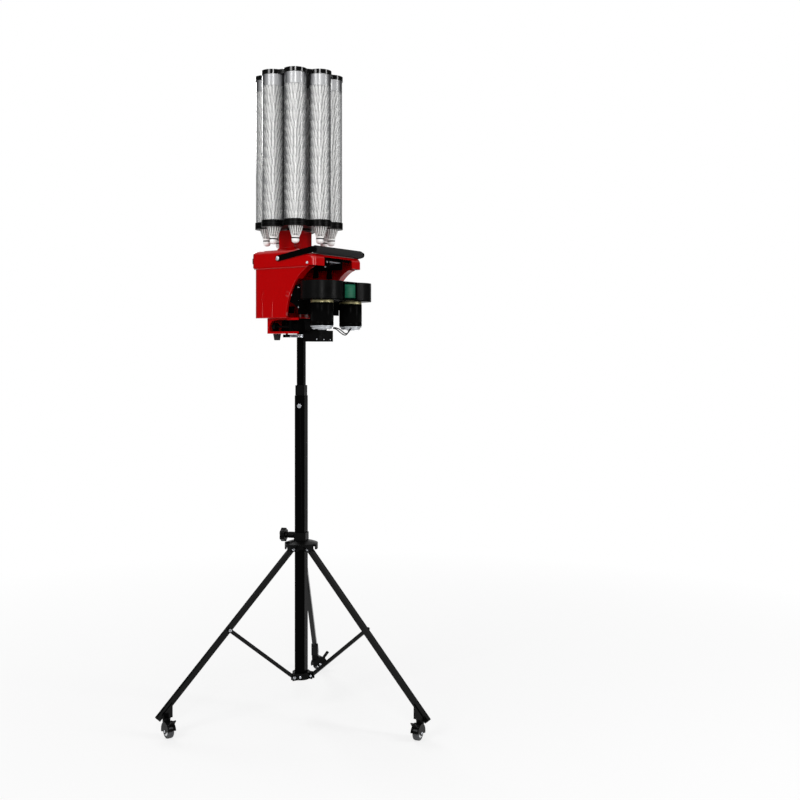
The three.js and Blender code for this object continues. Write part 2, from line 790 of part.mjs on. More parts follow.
// Spur gear outline with involute flanks.
function gearOutline(teeth, pitchModule) {
  const pitch = pitchModule * teeth / 2;
  const base = pitch * Math.cos(pressureAngle);
  const tip = pitch + pitchModule * 0.9;
  const root = pitch - pitchModule * 1.25;
  const involute = (radius) => {
    const roll = Math.sqrt(Math.max((radius / base) ** 2 - 1, 0));
    return roll - Math.atan(roll);
  };
  const halfThickness = Math.PI / (2 * teeth) - toothBacklash / (4 * pitch);
  const start = Math.max(base, root);
  const radii = [start, tip];
  const points = [];
  for (let tooth = 0; tooth < teeth; tooth += 1) {
    const centre = tooth * turn / teeth;
    const flank = radii.map((radius) => [
      radius, halfThickness + involute(pitch) - involute(radius)]);
    const rise = [[root, flank[0][1]], ...flank];
    rise.forEach(([radius, angle]) => points.push([
      radius * Math.cos(centre - angle), radius * Math.sin(centre - angle)]));
    rise.reverse().forEach(([radius, angle]) => points.push([
      radius * Math.cos(centre + angle), radius * Math.sin(centre + angle)]));
  }
  return polygon(points);
}

function panGear() {
  const gear = raised(gearOutline(gearTeeth, gearModule), [gearFoot, gearFoot + gearThickness]);
  const bore = rod(postRadius + clear, [gearFoot - overrun, gearFoot + gearThickness + overrun]);
  return cut(gear.rotateZ(pinionTurn), bore);
}

function panPinion() {
  const outline = gearOutline(pinionTeeth, gearModule);
  const gear = raised(outline, [gearFoot, gearFoot + gearThickness]);
  gear.rotateZ(pinionTurn + Math.PI + turn / (2 * pinionTeeth));
  const shaft = rod(pinionShaftRadius, [gearFoot, pinionShaftTop], smallSides);
  return join(gear, shaft).translate(pinionX, pinionY, 0);
}

// Red base: an open-topped box with an arched window in each side.
function base() {
  const corners = [baseCorner, baseCorner, baseCorner, baseCorner];
  const inner = corners.map((radius) => radius - baseWall);
  const outside = raised(
    roundedOutline([-baseHalfWidth, baseHalfWidth], [-baseFront, baseRear], corners),
    [baseFoot, baseFoot + baseHeight], 3);
  const inside = raised(
    roundedOutline(
      [-baseHalfWidth + baseWall, baseHalfWidth - baseWall],
      [-baseFront + baseWall, baseRear - baseWall], inner),
    [baseFoot + baseWall, baseFoot + baseHeight + overrun], 3);
  const arch = new THREE.Shape();
  const archRise = windowTop - windowFoot;
  arch.moveTo(-windowFront, windowFoot);
  arch.lineTo(windowRear, windowFoot);
  arch.absellipse(
    windowRear - archRise, windowFoot, archRise, archRise, 0, Math.PI / 2, false);
  arch.lineTo(-windowFront, windowTop);
  const windows = sideways(arch, [-baseHalfWidth - overrun, baseHalfWidth + overrun], 6);
  const shaftHole = rod(
    pinionShaftRadius + 2 * clear, [baseFoot - overrun, baseFoot + baseWall + overrun], smallSides);
  shaftHole.translate(pinionX, pinionY, 0);
  const rodHole = rodY(
    elevationRodRadius + clear, [-elevationBoxFront + baseWall - clear, -baseFront + 2 * baseWall],
    -elevationX, elevationHeight, smallSides);
  const bearing = rod(bearingRadius, [baseFoot + baseWall / 2, baseFoot + baseWall + bearingHeight]);
  const bearingBore = rod(
    postRadius + clear, [baseFoot - overrun, baseFoot + baseWall + bearingHeight + overrun]);
  const gearbox = block(
    [-elevationX - elevationBoxHalf, -elevationX + elevationBoxHalf],
    [-elevationBoxFront, -baseFront + slack],
    [elevationHeight - elevationBoxHalf, elevationHeight + elevationBoxHalf]);
  const walls = cut(outside, inside, windows);
  return cut(join(walls, bearing, gearbox), bearingBore, shaftHole, rodHole);
}

function panMotor() {
  const foot = baseFoot + baseWall + clear;
  const body = rod(panMotorRadius, [foot, panMotorTop]);
  const bore = rod(pinionShaftRadius + clear, [foot - overrun, pinionShaftTop + clear], smallSides);
  return cut(body, bore).translate(pinionX, pinionY, 0);
}

function rearFoot(side) {
  const foot = cone(
    footTipRadius, footRadius, [baseFoot - clear - footHeight, baseFoot - clear], smallSides);
  return foot.translate(side * footX, footY, 0);
}

// Support box: black housing under the motors, on which the head also stands when it is off.
function supportBox() {
  const corners = [supportCorner, supportCorner, 0, 0];
  const box = raised(
    roundedOutline(
      [-supportHalfWidth, supportHalfWidth], [-supportFront, -baseFront - clear], corners),
    [supportFoot, supportTop], 3);
  const back = block(
    [-supportHalfWidth, supportHalfWidth], [-baseFront - clear - supportBackDepth, -baseFront - clear],
    [supportFoot, supportBackTop]);
  const gearRelief = rod(gearRadius + 2 * gearModule, [supportFoot - overrun, baseFoot]);
  return cut(join(box, back), gearRelief);
}

function elevationKnob() {
  const knob = rodY(
    elevationKnobRadius, [elevationKnobRear - elevationKnobLength, elevationKnobRear],
    -elevationX, elevationHeight, roundSides);
  const bar = rodY(
    elevationRodRadius, [-elevationBoxFront + baseWall, elevationKnobRear - slack],
    -elevationX, elevationHeight, smallSides);
  return join(knob, bar);
}

// Body shell: rounded at the rear, open at the top and front, its sides cut by the front arch.
function shellForm(inset, [z0, z1]) {
  const corner = shellCorner - inset;
  return raised(
    roundedOutline(
      [-shellHalfWidth + inset, shellHalfWidth - inset], [-lidFront, shellRear - inset],
      [0, 0, corner, corner]),
    [z0, z1], 6);
}

function bodyShell() {
  const top = lidFoot - clear;
  const outside = join(
    shellForm(0, [shellFoot, top]), shellForm(-shellLipReach, [top - shellLipDepth, top]));
  const inside = shellForm(shellWall, [shellFoot + shellWall, top + overrun]);
  const rise = lidFoot - shellFoot;
  const archRiseShares = [0.86, 0.42];
  const archReachShares = [0.44, 0.02];
  const reach = archTop - archFoot;
  const arch = new THREE.Shape();
  arch.moveTo(-archTop, lidFoot);
  arch.bezierCurveTo(
    -archFoot - reach * archReachShares[0], shellFoot + rise * archRiseShares[0],
    -archFoot - reach * archReachShares[1], shellFoot + rise * archRiseShares[1],
    -archFoot, shellFoot - overrun);
  arch.lineTo(-lidFront - overrun, shellFoot - overrun);
  arch.lineTo(-lidFront - overrun, lidFoot);
  const front = sideways(arch, [-lidHalfWidth - overrun, lidHalfWidth + overrun], 10);
  const axleHoles = rodX(
    tiltAxleRadius + clear, [-shellHalfWidth - overrun, shellHalfWidth + overrun],
    -tiltAxisFront, tiltAxisHeight);
  const inletHole = block(
    [inletX - inletHalfWidth - clear, inletX + inletHalfWidth + clear],
    [shellRear - shellWall - overrun, shellRear + overrun],
    [inletHeight - switchHalfHeight - clear, inletHeight + switchHalfHeight + clear]);
  const switchHole = block(
    [switchX - switchHalfWidth - clear, switchX + switchHalfWidth + clear],
    [shellRear - shellWall - overrun, shellRear + overrun],
    [inletHeight - switchHalfHeight - clear, inletHeight + switchHalfHeight + clear]);
  return cut(outside, inside, front, axleHoles, inletHole, switchHole);
}

// Lid: a hood with a rounded top, sloping to the front, with its mouth and drop hole.
function lidForm(inset) {
  const half = lidHalfWidth - inset;
  const corner = lidCorner - inset;
  const plan = raised(
    roundedOutline(
      [-half, half], [-lidFront + inset, lidRear - inset],
      [lidFrontCorner, lidFrontCorner, corner, corner]),
    [lidFoot - (inset > 0 ? overrun : 0), lidTop], 5);
  const profile = new THREE.Shape();
  const low = lidFoot - overrun * 2;
  profile.moveTo(-lidFront, low);
  profile.lineTo(lidRear, low);
  profile.lineTo(lidRear, lidTop - lidEdge);
  profile.quadraticCurveTo(lidRear, lidTop - inset, lidRear - 2 * lidEdge, lidTop - inset);
  profile.lineTo(-lidSlopeStart, lidTop - inset);
  profile.lineTo(-lidFront, lidFrontTop - inset);
  const side = sideways(profile, [-lidHalfWidth, lidHalfWidth], 5);
  const face = frontward(
    roundedOutline([-half, half], [low, lidTop - inset], [0, 0, lidEdge - inset, lidEdge - inset]),
    [-lidFront, lidRear], 4);
  return common(plan, side, face);
}

function lid() {
  const outside = lidForm(0);
  const inside = lidForm(shellWall);
  const mouth = block(
    [-mouthHalfWidth, mouthHalfWidth], [-lidFront - overrun, -lidFront + 2 * shellWall],
    [lidFoot - overrun, mouthTop]);
  const dropHole = rod(dropHoleRadius, [lidFoot, lidTop + overrun]);
  dropHole.translate(0, carouselY - tubeCircle, 0);
  const boltReach = lidHalfWidth + handleArmThickness + 3 * clear;
  const bolts = [-1, 1].map((side) => {
    const shank = rodX(handleBoltRadius, [lidHalfWidth - 2 * shellWall, boltReach + slack], 0, 0, smallSides);
    const head = rodX(
      handleBoltHeadRadius, [boltReach, boltReach + handleBoltHeadHeight], 0, 0, smallSides);
    const bolt = join(shank, head).rotateZ(side < 0 ? Math.PI : 0);
    return bolt.translate(0, -handlePivotFront, handlePivotHeight);
  });
  return join(cut(outside, inside, mouth, dropHole), ...bolts);
}

// Neck: a flared column that lifts the carousel off the lid.
function neck() {
  const foot = lidTop + clear;
  const flared = (low, high) => polygon([
    [low - neckFlare, foot], [high + neckFlare, foot], [high, foot + neckFlareHeight],
    [high, neckTop], [low, neckTop], [low, foot + neckFlareHeight]]);
  const outside = common(
    frontward(flared(-neckHalfWidth, neckHalfWidth), [-neckFront - neckFlare, neckRear + neckFlare]),
    sideways(flared(-neckFront, neckRear), [-neckHalfWidth - neckFlare, neckHalfWidth + neckFlare]));
  const inside = block(
    [-neckHalfWidth + neckWall, neckHalfWidth - neckWall], [-neckFront + neckWall, neckRear - neckWall],
    [foot - overrun, neckTop - neckWall]);
  const shaftHole = rod(carouselShaftRadius + clear, [neckTop - neckWall - overrun, neckTop + overrun]);
  return cut(outside, inside, shaftHole.translate(0, carouselY, 0));
}

// Power module: an inlet with three pins and the bezel of the rocker switch on one flange.
function powerModule() {
  const outer = shellRear + clear;
  const face = outer + inletFlange;
  const low = inletHeight - switchHalfHeight;
  const high = inletHeight + switchHalfHeight;
  const inletAcross = [inletX - inletHalfWidth, inletX + inletHalfWidth];
  const switchAcross = [switchX - switchHalfWidth, switchX + switchHalfWidth];
  const flange = block(
    [switchAcross[0] - inletFlange, inletAcross[1] + inletFlange], [outer, face],
    [low - inletFlange, high + inletFlange]);
  const bodies = [inletAcross, switchAcross].map((across) => block(
    across, [outer - inletDepth, face], [low, high]));
  const socket = block(
    [inletAcross[0] + inletWall, inletAcross[1] - inletWall],
    [face - inletSocketDepth, face + overrun], [low + inletWall, high - inletWall]);
  const rockerSpace = block(
    [switchAcross[0] + overrun, switchAcross[1] - overrun],
    [face - inletSocketDepth, face + overrun], [low + overrun, high - overrun]);
  const pinHole = rodX(
    rockerPinRadius + clear, [switchAcross[0] + clear, switchAcross[1] - clear],
    face - rockerDepth, inletHeight, smallSides);
  const pins = [-1, 0, 1].map((place) => rodY(
    inletPinRadius, [face - inletSocketDepth - overrun, outer - overrun],
    inletX + place * inletHalfWidth / 2, inletHeight + (place === 0 ? 2 * inletPinRadius : 0), smallSides));
  return join(cut(join(flange, ...bodies), socket, rockerSpace, pinHole), ...pins);
}

function switchRocker() {
  const outer = shellRear + clear + inletFlange;
  const pivotY = outer - rockerDepth;
  const halfWidth = switchHalfWidth - overrun - clear;
  const halfHeight = switchHalfHeight - overrun - 2 * slack;
  const outline = new THREE.Shape();
  outline.moveTo(pivotY, inletHeight - halfHeight + overrun);
  outline.lineTo(outer, inletHeight - halfHeight + slack);
  outline.lineTo(outer + rockerRise / 3, inletHeight);
  outline.lineTo(outer + rockerRise / 3, inletHeight + halfHeight - slack);
  outline.lineTo(pivotY, inletHeight + halfHeight - overrun);
  const body = sideways(outline, [switchX - halfWidth, switchX + halfWidth]);
  const pin = rodX(
    rockerPinRadius, [switchX - switchHalfWidth + 2 * clear, switchX + switchHalfWidth - 2 * clear],
    pivotY, inletHeight, smallSides);
  return join(body, pin);
}

// Handle: two flat arms on bolts, a cross tube between them and its foam grip.
function handleFrame() {
  const rise = handleBarHeight - handlePivotHeight;
  const run = handleBarFront - handlePivotFront;
  const slope = Math.atan2(rise, run);
  const length = Math.hypot(rise, run);
  const half = handleArmHeight / 2;
  const inner = lidHalfWidth + 2 * clear;
  const outline = new THREE.Shape();
  outline.absarc(0, 0, half, Math.PI / 2, Math.PI * 1.5, false);
  outline.absarc(length, 0, half, -Math.PI / 2, Math.PI / 2, false);
  const arms = [-1, 1].map((side) => {
    const row = [side * inner, side * (inner + handleArmThickness)].sort((p, q) => p - q);
    const arm = sideways(outline, row, 6);
    arm.scale(1, -1, 1);
    const flipped = flipFaces(arm).rotateX(-slope);
    return flipped.translate(0, -handlePivotFront, handlePivotHeight);
  });
  const holes = rodX(
    handleBoltRadius + clear, [-inner - handleArmThickness - overrun, inner + handleArmThickness + overrun],
    -handlePivotFront, handlePivotHeight, smallSides);
  const bar = rodX(
    handleBarRadius, [-inner - slack, inner + slack], -handleBarFront, handleBarHeight);
  return join(...arms.map((arm) => cut(arm, holes)), bar);
}

function flipFaces(geometry) {
  const flat = geometry.index ? geometry.toNonIndexed() : geometry;
  const places = flat.attributes.position.array;
  for (let start = 0; start < places.length; start += 9) {
    for (let axis = 0; axis < 3; axis += 1) {
      const kept = places[start + 3 + axis];
      places[start + 3 + axis] = places[start + 6 + axis];
      places[start + 6 + axis] = kept;
    }
  }
  return flat;
}

function handleGrip() {
  const bar = rodX(handleGripRadius, [-handleGripHalf, handleGripHalf], -handleBarFront, handleBarHeight);
  const bore = rodX(
    handleBarRadius + clear, [-handleGripHalf - overrun, handleGripHalf + overrun],
    -handleBarFront, handleBarHeight);
  return cut(bar, bore);
}

// Throwing unit: a plate under both wheels, cheeks that hang on the tilt axle, and a rear plate.
function throwFrame() {
  const tray = block(
    [-plateHalfWidth, plateHalfWidth], [-wheelFront, -plateRear], [plateFoot, plateTop]);
  const discs = [-1, 1].map((side) => rod(shroudRadius, [plateFoot, plateTop]).translate(
    side * wheelX, -wheelFront, 0));
  const tongue = block(
    [-passageHalfWidth, passageHalfWidth], [-exitFront, -wheelFront], [plateFoot, plateTop]);
  const rear = block(
    [-rearPlateHalfWidth - slack, rearPlateHalfWidth + slack],
    [-plateRear, -plateRear + rearPlateThickness], [rearPlateFoot, rearPlateTop]);
  const feedNotch = block(
    [-feedNotchHalf, feedNotchHalf], [-plateRear - overrun, -plateRear + 2 * rearPlateThickness],
    [feedNotchFoot, rearPlateTop + overrun]);
  const outline = polygon([
    [-cheekRear, tiltAxisHeight - cheekRear / 2], [-cheekFront, cheekFoot],
    [-cheekFront, cheekTop], [-tiltAxisFront, cheekTop], [-cheekRear, tiltAxisHeight + cheekRear / 2]]);
  const cheeks = [-1, 1].map((side) => {
    const row = [side * cheekX, side * (cheekX - cheekThickness)].sort((p, q) => p - q);
    return sideways(outline, row);
  });
  const shaftHoles = [-1, 1].map((side) => rod(
    wheelShaftRadius + clear, [plateFoot - overrun, plateTop + overrun], smallSides,
  ).translate(side * wheelX, -wheelFront, 0));
  const axle = rodX(
    tiltAxleRadius, [-shellHalfWidth + slack, shellHalfWidth - slack],
    -tiltAxisFront, tiltAxisHeight, roundSides);
  const frame = cut(join(tray, ...discs, tongue, rear, ...cheeks), feedNotch, ...shaftHoles);
  return join(frame, exitWindow(), axle);
}

function motor(side) {
  const body = turned([
    [0, motorEndFoot], [motorEndRadius - overrun, motorEndFoot],
    [motorEndRadius, motorEndFoot + overrun], [motorEndRadius, motorFoot],
    [motorRadius, motorFoot], [motorRadius, motorTop],
    [motorRingRadius, motorTop], [motorRingRadius, motorTop + motorRingHeight], [0, motorTop + motorRingHeight],
  ]);
  const bore = rod(
    wheelShaftRadius + clear, [motorTop - motorRingHeight, motorTop + motorRingHeight + overrun], smallSides);
  return cut(body, bore).translate(side * wheelX, -wheelFront, 0);
}

function launchWheel(side) {
  const hubFace = wheelTop - wheelHubStep;
  const tyreEdge = overrun;
  const body = turned([
    [0, motorTop - motorRingHeight + clear], [wheelShaftRadius, motorTop - motorRingHeight + clear],
    [wheelShaftRadius, wheelFoot], [wheelRadius - tyreEdge, wheelFoot],
    [wheelRadius, wheelFoot + tyreEdge], [wheelRadius, wheelTop - tyreEdge],
    [wheelRadius - tyreEdge, wheelTop], [wheelHubRadius + wheelHubStep, wheelTop],
    [wheelHubRadius, hubFace], [0, hubFace],
  ]);
  return body.translate(side * wheelX, -wheelFront, 0);
}

function shroud(side) {
  const outside = rod(shroudRadius, [plateTop + clear, shroudTop]);
  const raisedHub = rod(shroudHubRadius, [shroudTop - overrun, shroudTop + shroudHubRise], smallSides);
  const inside = rod(shroudRadius - shroudWall, [plateTop, shroudTop - shroudRoof]);
  const cup = join(cut(outside, inside), raisedHub).translate(side * wheelX, -wheelFront, 0);
  const reach = wheelX * 2 + shroudRadius;
  const row = side < 0 ? [-passageHalfWidth - clear, reach] : [-reach, passageHalfWidth + clear];
  const passage = block(
    row, [-wheelFront - shroudRadius - overrun, -wheelFront + shroudRadius + overrun],
    [plateTop, shroudTop - shroudRoof]);
  const middle = side < 0 ? [-clear, reach] : [-reach, clear];
  const beyond = block(
    middle, [-wheelFront - shroudRadius, -wheelFront + shroudRadius],
    [plateTop, shroudTop + overrun]);
  const frame = block(
    side < 0 ? [-passageHalfWidth - clear, reach] : [-reach, passageHalfWidth + clear],
    [-exitFront - overrun, -exitFront + exitDepth + clear], [plateTop, shroudTop + overrun]);
  const feedSlot = block(
    [-passageHalfWidth, passageHalfWidth],
    [-wheelFront + slack, -wheelFront + shroudRadius + overrun], [plateTop, shroudTop + overrun]);
  return cut(cup, passage, beyond, frame, feedSlot);
}

function exitWindow() {
  const outside = block(
    [-passageHalfWidth, passageHalfWidth], [-exitFront, -exitFront + exitDepth],
    [plateTop - overrun, shroudTop]);
  const hole = block(
    [-passageHalfWidth + exitFrame, passageHalfWidth - exitFrame],
    [-exitFront - overrun, -exitFront + exitDepth + overrun],
    [plateTop + clear + exitFrame / 2, shroudTop - exitFrame]);
  return cut(outside, hole);
}

// Motor leads: two slack wires from one motor's end cap to the other's. The routes are chosen
// by hand and are kept as they are.
const upperLeadRoute = [
  [-58.1, -183.1, 1342], [-55.4, -186.4, 1342], [-49.6, -190.4, 1340.8], [-38, -193.5, 1337],
  [-22, -194, 1330], [-8, -192, 1324.6], [6, -189, 1322.6], [18, -186.3, 1324.4],
  [28, -183.9, 1328.6], [37, -182, 1334], [43.6, -181.2, 1338.8], [48.6, -179.6, 1341.6],
  [51.9, -177, 1342]];
const lowerLeadRoute = [
  [-53.2, -178.4, 1339.4], [-50, -181.2, 1339.4], [-43.6, -185, 1336.8], [-34, -188, 1330.4],
  [-22, -189.6, 1323.6], [-9, -189.3, 1319], [4, -187, 1317.8], [16, -184, 1320.4],
  [27, -180.6, 1325.2], [36, -177.8, 1331], [42, -176.6, 1335.8], [46.4, -175, 1339],
  [49.4, -173.2, 1339.6]];

function lead(route) {
  const curve = new THREE.CatmullRomCurve3(route.map(([x, y, z]) => new THREE.Vector3(x, y, z)));
  const section = new THREE.Shape();
  section.absarc(0, 0, leadRadius, 0, turn, false);
  return new THREE.ExtrudeGeometry(section, {
    steps: leadSteps, curveSegments: 2 * leadSides, extrudePath: curve, bevelEnabled: false,
  });
}

// Feeder: a channel under the drop hole, and a claw that sets each shuttle between the wheels.
function feederChannel() {
  const seat = lidTop - shellWall - clear;
  const frontSeat = seat - lidSlope * (feederFront - lidSlopeStart);
  const outline = polygon([
    [-feederFront, feederFoot], [-feederRear, feederFoot], [-feederRear, seat],
    [-lidSlopeStart, seat], [-feederFront, frontSeat]]);
  const outside = sideways(outline, [-feederHalfWidth, feederHalfWidth]);
  const inside = block(
    [-feederHalfWidth + feederWall, feederHalfWidth - feederWall],
    [-feederFront - overrun, -feederRear - feederWall], [feederFoot - overrun, lidTop]);
  const rodHoles = rodX(
    clawRodRadius + clear, [-feederHalfWidth - overrun, feederHalfWidth + overrun],
    -clawFront, clawHeight, smallSides);
  const flanges = [-1, 1].map((side) => {
    const row = [side * (feederHalfWidth - slack), side * (mouthHalfWidth - slack)].sort((p, q) => p - q);
    return block(
      row, [-feederFront, -feederFront + feederWall],
      [feederFlangeTop - feederFlangeHeight, feederFlangeTop]);
  });
  return cut(join(outside, ...flanges), inside, rodHoles);
}

function feederClaw() {
  const half = feederHalfWidth + feederWall / 2;
  const cross = rodX(clawRodRadius, [-half, half], 0, 0, smallSides);
  const prong = polygon([
    [0, clawDepth / 2], [0, -clawDepth / 2], [clawLength, -clawDepth / 4],
    [clawLength, clawDepth / 4]]);
  const prongs = [-1, 1].map((side) => sideways(
    prong, [side * clawX - clawThickness / 2, side * clawX + clawThickness / 2]));
  const claw = join(cross, ...prongs).rotateX(-clawDroop);
  return claw.translate(0, -clawFront, clawHeight);
}

// Carousel: scalloped plates carry eight tubes around a post.
function eachTube(make) {
  return Array.from({ length: tubeCount }, (_, index) => {
    const angle = tubeTurn + index * turn / tubeCount;
    return make().translate(tubeCircle * Math.cos(angle), tubeCircle * Math.sin(angle), 0);
  });
}

function cloverPlate([z0, z1]) {
  const lobes = eachTube(() => rod(lobeRadius, [z0, z1], tubeSides));
  return join(rod(tubeCircle, [z0, z1], tubeSides), ...lobes);
}

const coneSlope = (skirtRadius - corkRadius) / (shuttleLength - corkLength);
const plateHoleRadius = corkRadius
  + coneSlope * (carouselFoot + carouselPlate - corkFoot - corkLength) + clear;

function carouselBase() {
  const plate = cloverPlate([carouselFoot, carouselFoot + carouselPlate]);
  const holes = eachTube(() => rod(
    plateHoleRadius, [carouselFoot - overrun, carouselFoot + carouselPlate + overrun], tubeSides));
  const hubDisc = rod(carouselHubRadius, [neckTop + clear, carouselFoot + overrun]);
  const shaft = rod(carouselShaftRadius, [carouselShaftFoot, carouselFoot + overrun]);
  const post = rod(carouselPostRadius, [carouselFoot, ringFoot + ringSeat], smallSides);
  return join(cut(plate, ...holes), hubDisc, shaft, post).translate(0, carouselY, 0);
}

// The tubes stand in a scalloped collar, and the two are one body.
function carouselTubes() {
  const foot = carouselFoot + carouselPlate + clear;
  const top = ringFoot + ringSeat - clear;
  const plate = cloverPlate([foot, foot + carouselCollar]);
  const holes = eachTube(() => rod(
    tubeRadius - tubeWall / 2, [foot - overrun, foot + carouselCollar + overrun], tubeSides));
  const middle = rod(tubeCircle - tubeRadius - 2 * ringSeat, [
    foot - overrun, foot + carouselCollar + overrun], tubeSides);
  const tubes = eachTube(() => turned([
    [tubeRadius - tubeWall, foot], [tubeRadius, foot], [tubeRadius, top],
    [tubeRadius - tubeWall, top], [tubeRadius - tubeWall, foot]], tubeSides));
  return join(cut(plate, ...holes, middle), ...tubes).translate(0, carouselY, 0);
}

function carouselRing() {
  const plate = cloverPlate([ringFoot, ringTop]);
  const seats = eachTube(() => rod(
    tubeRadius + clear, [ringFoot - overrun, ringFoot + ringSeat], tubeSides));
  const bores = eachTube(() => rod(tubeBore, [ringFoot, ringTop + overrun], tubeSides));
  const postHole = rod(
    carouselPostRadius + clear, [ringFoot - overrun, ringFoot + ringSeat + clear], smallSides);
  return cut(plate, ...seats, ...bores, postHole).translate(0, carouselY, 0);
}

function shuttleStack() {
  const skirt = corkFoot + shuttleLength;
  const profile = [
    [0, corkFoot], [corkRadius * 0.6, corkFoot + overrun / 2],
    [corkRadius, corkFoot + corkRadius * 0.6], [corkRadius, corkFoot + corkLength],
    [skirtRadius, skirt]];
  for (let index = 1; index <= nestCount; index += 1) {
    const height = skirt + index * nestPitch;
    profile.push([skirtRadius - nestStep, height - nestPitch + slack], [skirtRadius, height]);
  }
  profile.push([0, skirt + nestCount * nestPitch]);
  return turned(profile, stackSides);
}

// Mast and tripod
add('mast_outer', mastOuter(), blackPaint(), mastTurn);
add('mast_bottom_bracket', bottomBracket(), blackPlastic());
add('mast_top_collar', mastCollar(), blackPlastic(), mastTurn);
add('mast_lock_bolt', lockBolt(), brightSteel(), mastTurn);
add('mast_inner', mastInner(), blackPaint(), mastTurn);
add('hub_spreader', hub(), blackPlastic());
add('hub_knob', hubKnob(), blackPlastic());

eachLeg((angle, index) => {
  const number = index + 1;
  add(`leg_${number}`, leg(), blackPaint(), angle);
  add(`strut_${number}`, strut(), blackPaint(), angle);
  const place = (mesh, height) => {
    mesh.position.set(casterCircle * Math.cos(angle), casterCircle * Math.sin(angle), height);
  };
  place(add(`caster_fork_${number}`, casterFork(), blackPlastic(), casterHeadings[index]), floorHeight);
  place(add(`caster_brake_${number}`, casterBrake(), blackPlastic(), casterHeadings[index]), floorHeight);
  const wheel = casterWheel().translate(-casterTrail, 0, casterWheelRadius);
  place(add(`caster_wheel_${number}`, wheel, rubber(), casterHeadings[index]), floorHeight);
});

// Head
add('pan_gear', panGear(), brightSteel());
add('pan_pinion', panPinion(), blackPlastic());
add('pan_motor', panMotor(), blackPlastic());
add('head_base', base(), redPaint());
[['left', -1], ['right', 1]].forEach(([name, side]) => {
  add(`rear_foot_${name}`, rearFoot(side), rubber());
});
add('support_box', supportBox(), blackPlastic());
add('elevation_knob', elevationKnob(), blackPlastic());
add('body_shell', bodyShell(), redPaint());
add('lid_hood', lid(), redPaint());
add('neck_column', neck(), redPaint());
add('power_module', powerModule(), blackPlastic());
add('switch_rocker', switchRocker(), blackPlastic());
add('handle_frame', handleFrame(), blackPaint());
add('handle_grip', handleGrip(), rubber());

// Throwing unit and feeder
add('throw_frame', throwFrame(), blackPaint());
[['left', -1], ['right', 1]].forEach(([name, side]) => {
  add(`motor_${name}`, motor(side), blackPaint());
  add(`launch_wheel_${name}`, launchWheel(side), finish('#0c6b43', 0.55, 0));
  add(`wheel_shroud_${name}`, shroud(side), blackPlastic());
});
add('motor_lead_upper', lead(upperLeadRoute), rubber());
add('motor_lead_lower', lead(lowerLeadRoute), rubber());
add('feeder_channel', feederChannel(), blackPaint());
add('feeder_claw', feederClaw(), brightSteel());

// Carousel
add('carousel_base', carouselBase(), blackPlastic());
const clearPlastic = finish('#eef1f4', 0.05, 0);
clearPlastic.transparent = true;
clearPlastic.opacity = 0.3;
add('carousel_tubes', carouselTubes(), clearPlastic);
add('carousel_ring', carouselRing(), blackPlastic());
eachTube(shuttleStack).forEach((stack, index) => {
  add(`shuttle_stack_${index + 1}`, stack.translate(0, carouselY, 0), finish('#efece4', 0.8, 0));
});

// The middle of the footprint becomes the origin.
machine.updateMatrixWorld(true);
const footprint = new THREE.Box3().setFromObject(machine, true);
machine.position.set(
  -(footprint.min.x + footprint.max.x) / 2, -(footprint.min.y + footprint.max.y) / 2, 0);

const group = new THREE.Group();
group.add(machine);

export default group;
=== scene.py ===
import math
import bpy
from mathutils import Matrix, Vector


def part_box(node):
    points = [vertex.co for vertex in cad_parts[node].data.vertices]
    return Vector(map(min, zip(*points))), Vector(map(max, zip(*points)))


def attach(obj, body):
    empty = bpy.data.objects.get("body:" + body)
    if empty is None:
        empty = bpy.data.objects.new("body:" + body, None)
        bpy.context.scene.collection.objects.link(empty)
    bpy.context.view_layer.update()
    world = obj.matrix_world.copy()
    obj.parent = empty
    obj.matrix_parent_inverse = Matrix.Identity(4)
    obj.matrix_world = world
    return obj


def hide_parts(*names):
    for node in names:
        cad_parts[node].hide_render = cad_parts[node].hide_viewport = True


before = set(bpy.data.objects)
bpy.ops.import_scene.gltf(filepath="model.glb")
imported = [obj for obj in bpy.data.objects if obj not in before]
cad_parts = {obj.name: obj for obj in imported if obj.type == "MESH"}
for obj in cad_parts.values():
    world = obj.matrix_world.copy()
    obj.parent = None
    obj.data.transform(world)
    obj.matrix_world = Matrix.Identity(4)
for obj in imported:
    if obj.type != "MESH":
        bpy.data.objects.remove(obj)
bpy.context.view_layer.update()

# Camera. The photograph was taken level, from the machine's front left at the height of its
# head. Lengths are in metres, and pixels are those of the photograph.
mast_low, mast_high = (Vector(corner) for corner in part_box("mast_outer"))
mast_foot = Vector(((mast_low.x + mast_high.x) / 2, (mast_low.y + mast_high.y) / 2, 0))
frame_pixels, focal_pixels = 800, 1050
mast_pixel, horizon_pixel = 301.3, 350
view_angle = math.radians(-51.5)
camera_distance, camera_height = 3.691, 1.267
toward_mast = Vector((-math.sin(view_angle), math.cos(view_angle), 0))
yaw = math.atan((frame_pixels / 2 - mast_pixel) / focal_pixels)
bpy.ops.object.camera_add(
    location=mast_foot + Vector((0, 0, camera_height)) - toward_mast * camera_distance,
    rotation=(math.pi / 2, 0, math.atan2(-toward_mast.x, toward_mast.y) - yaw))
camera = bpy.context.object
camera.data.sensor_width = 36
camera.data.lens = camera.data.sensor_width * focal_pixels / frame_pixels
camera.data.shift_y = (horizon_pixel - frame_pixels / 2) / frame_pixels
camera.data.clip_end = 60
bpy.context.scene.camera = camera
bpy.context.scene.view_settings.view_transform = "Standard"

# Studio. A pale seamless floor that keeps a soft shadow, and large soft boxes at both sides
# of the camera. The room is white to the camera and through clear plastic, and reflections
# see a white ceiling, a white backdrop ahead and a dark horizon.
def linear(hex_colour):
    channels = [int(hex_colour[i:i + 2], 16) / 255 for i in (1, 3, 5)]
    return tuple(c / 12.92 if c <= 0.04045 else ((c + 0.055) / 1.055) ** 2.4 for c in channels) + (1,)


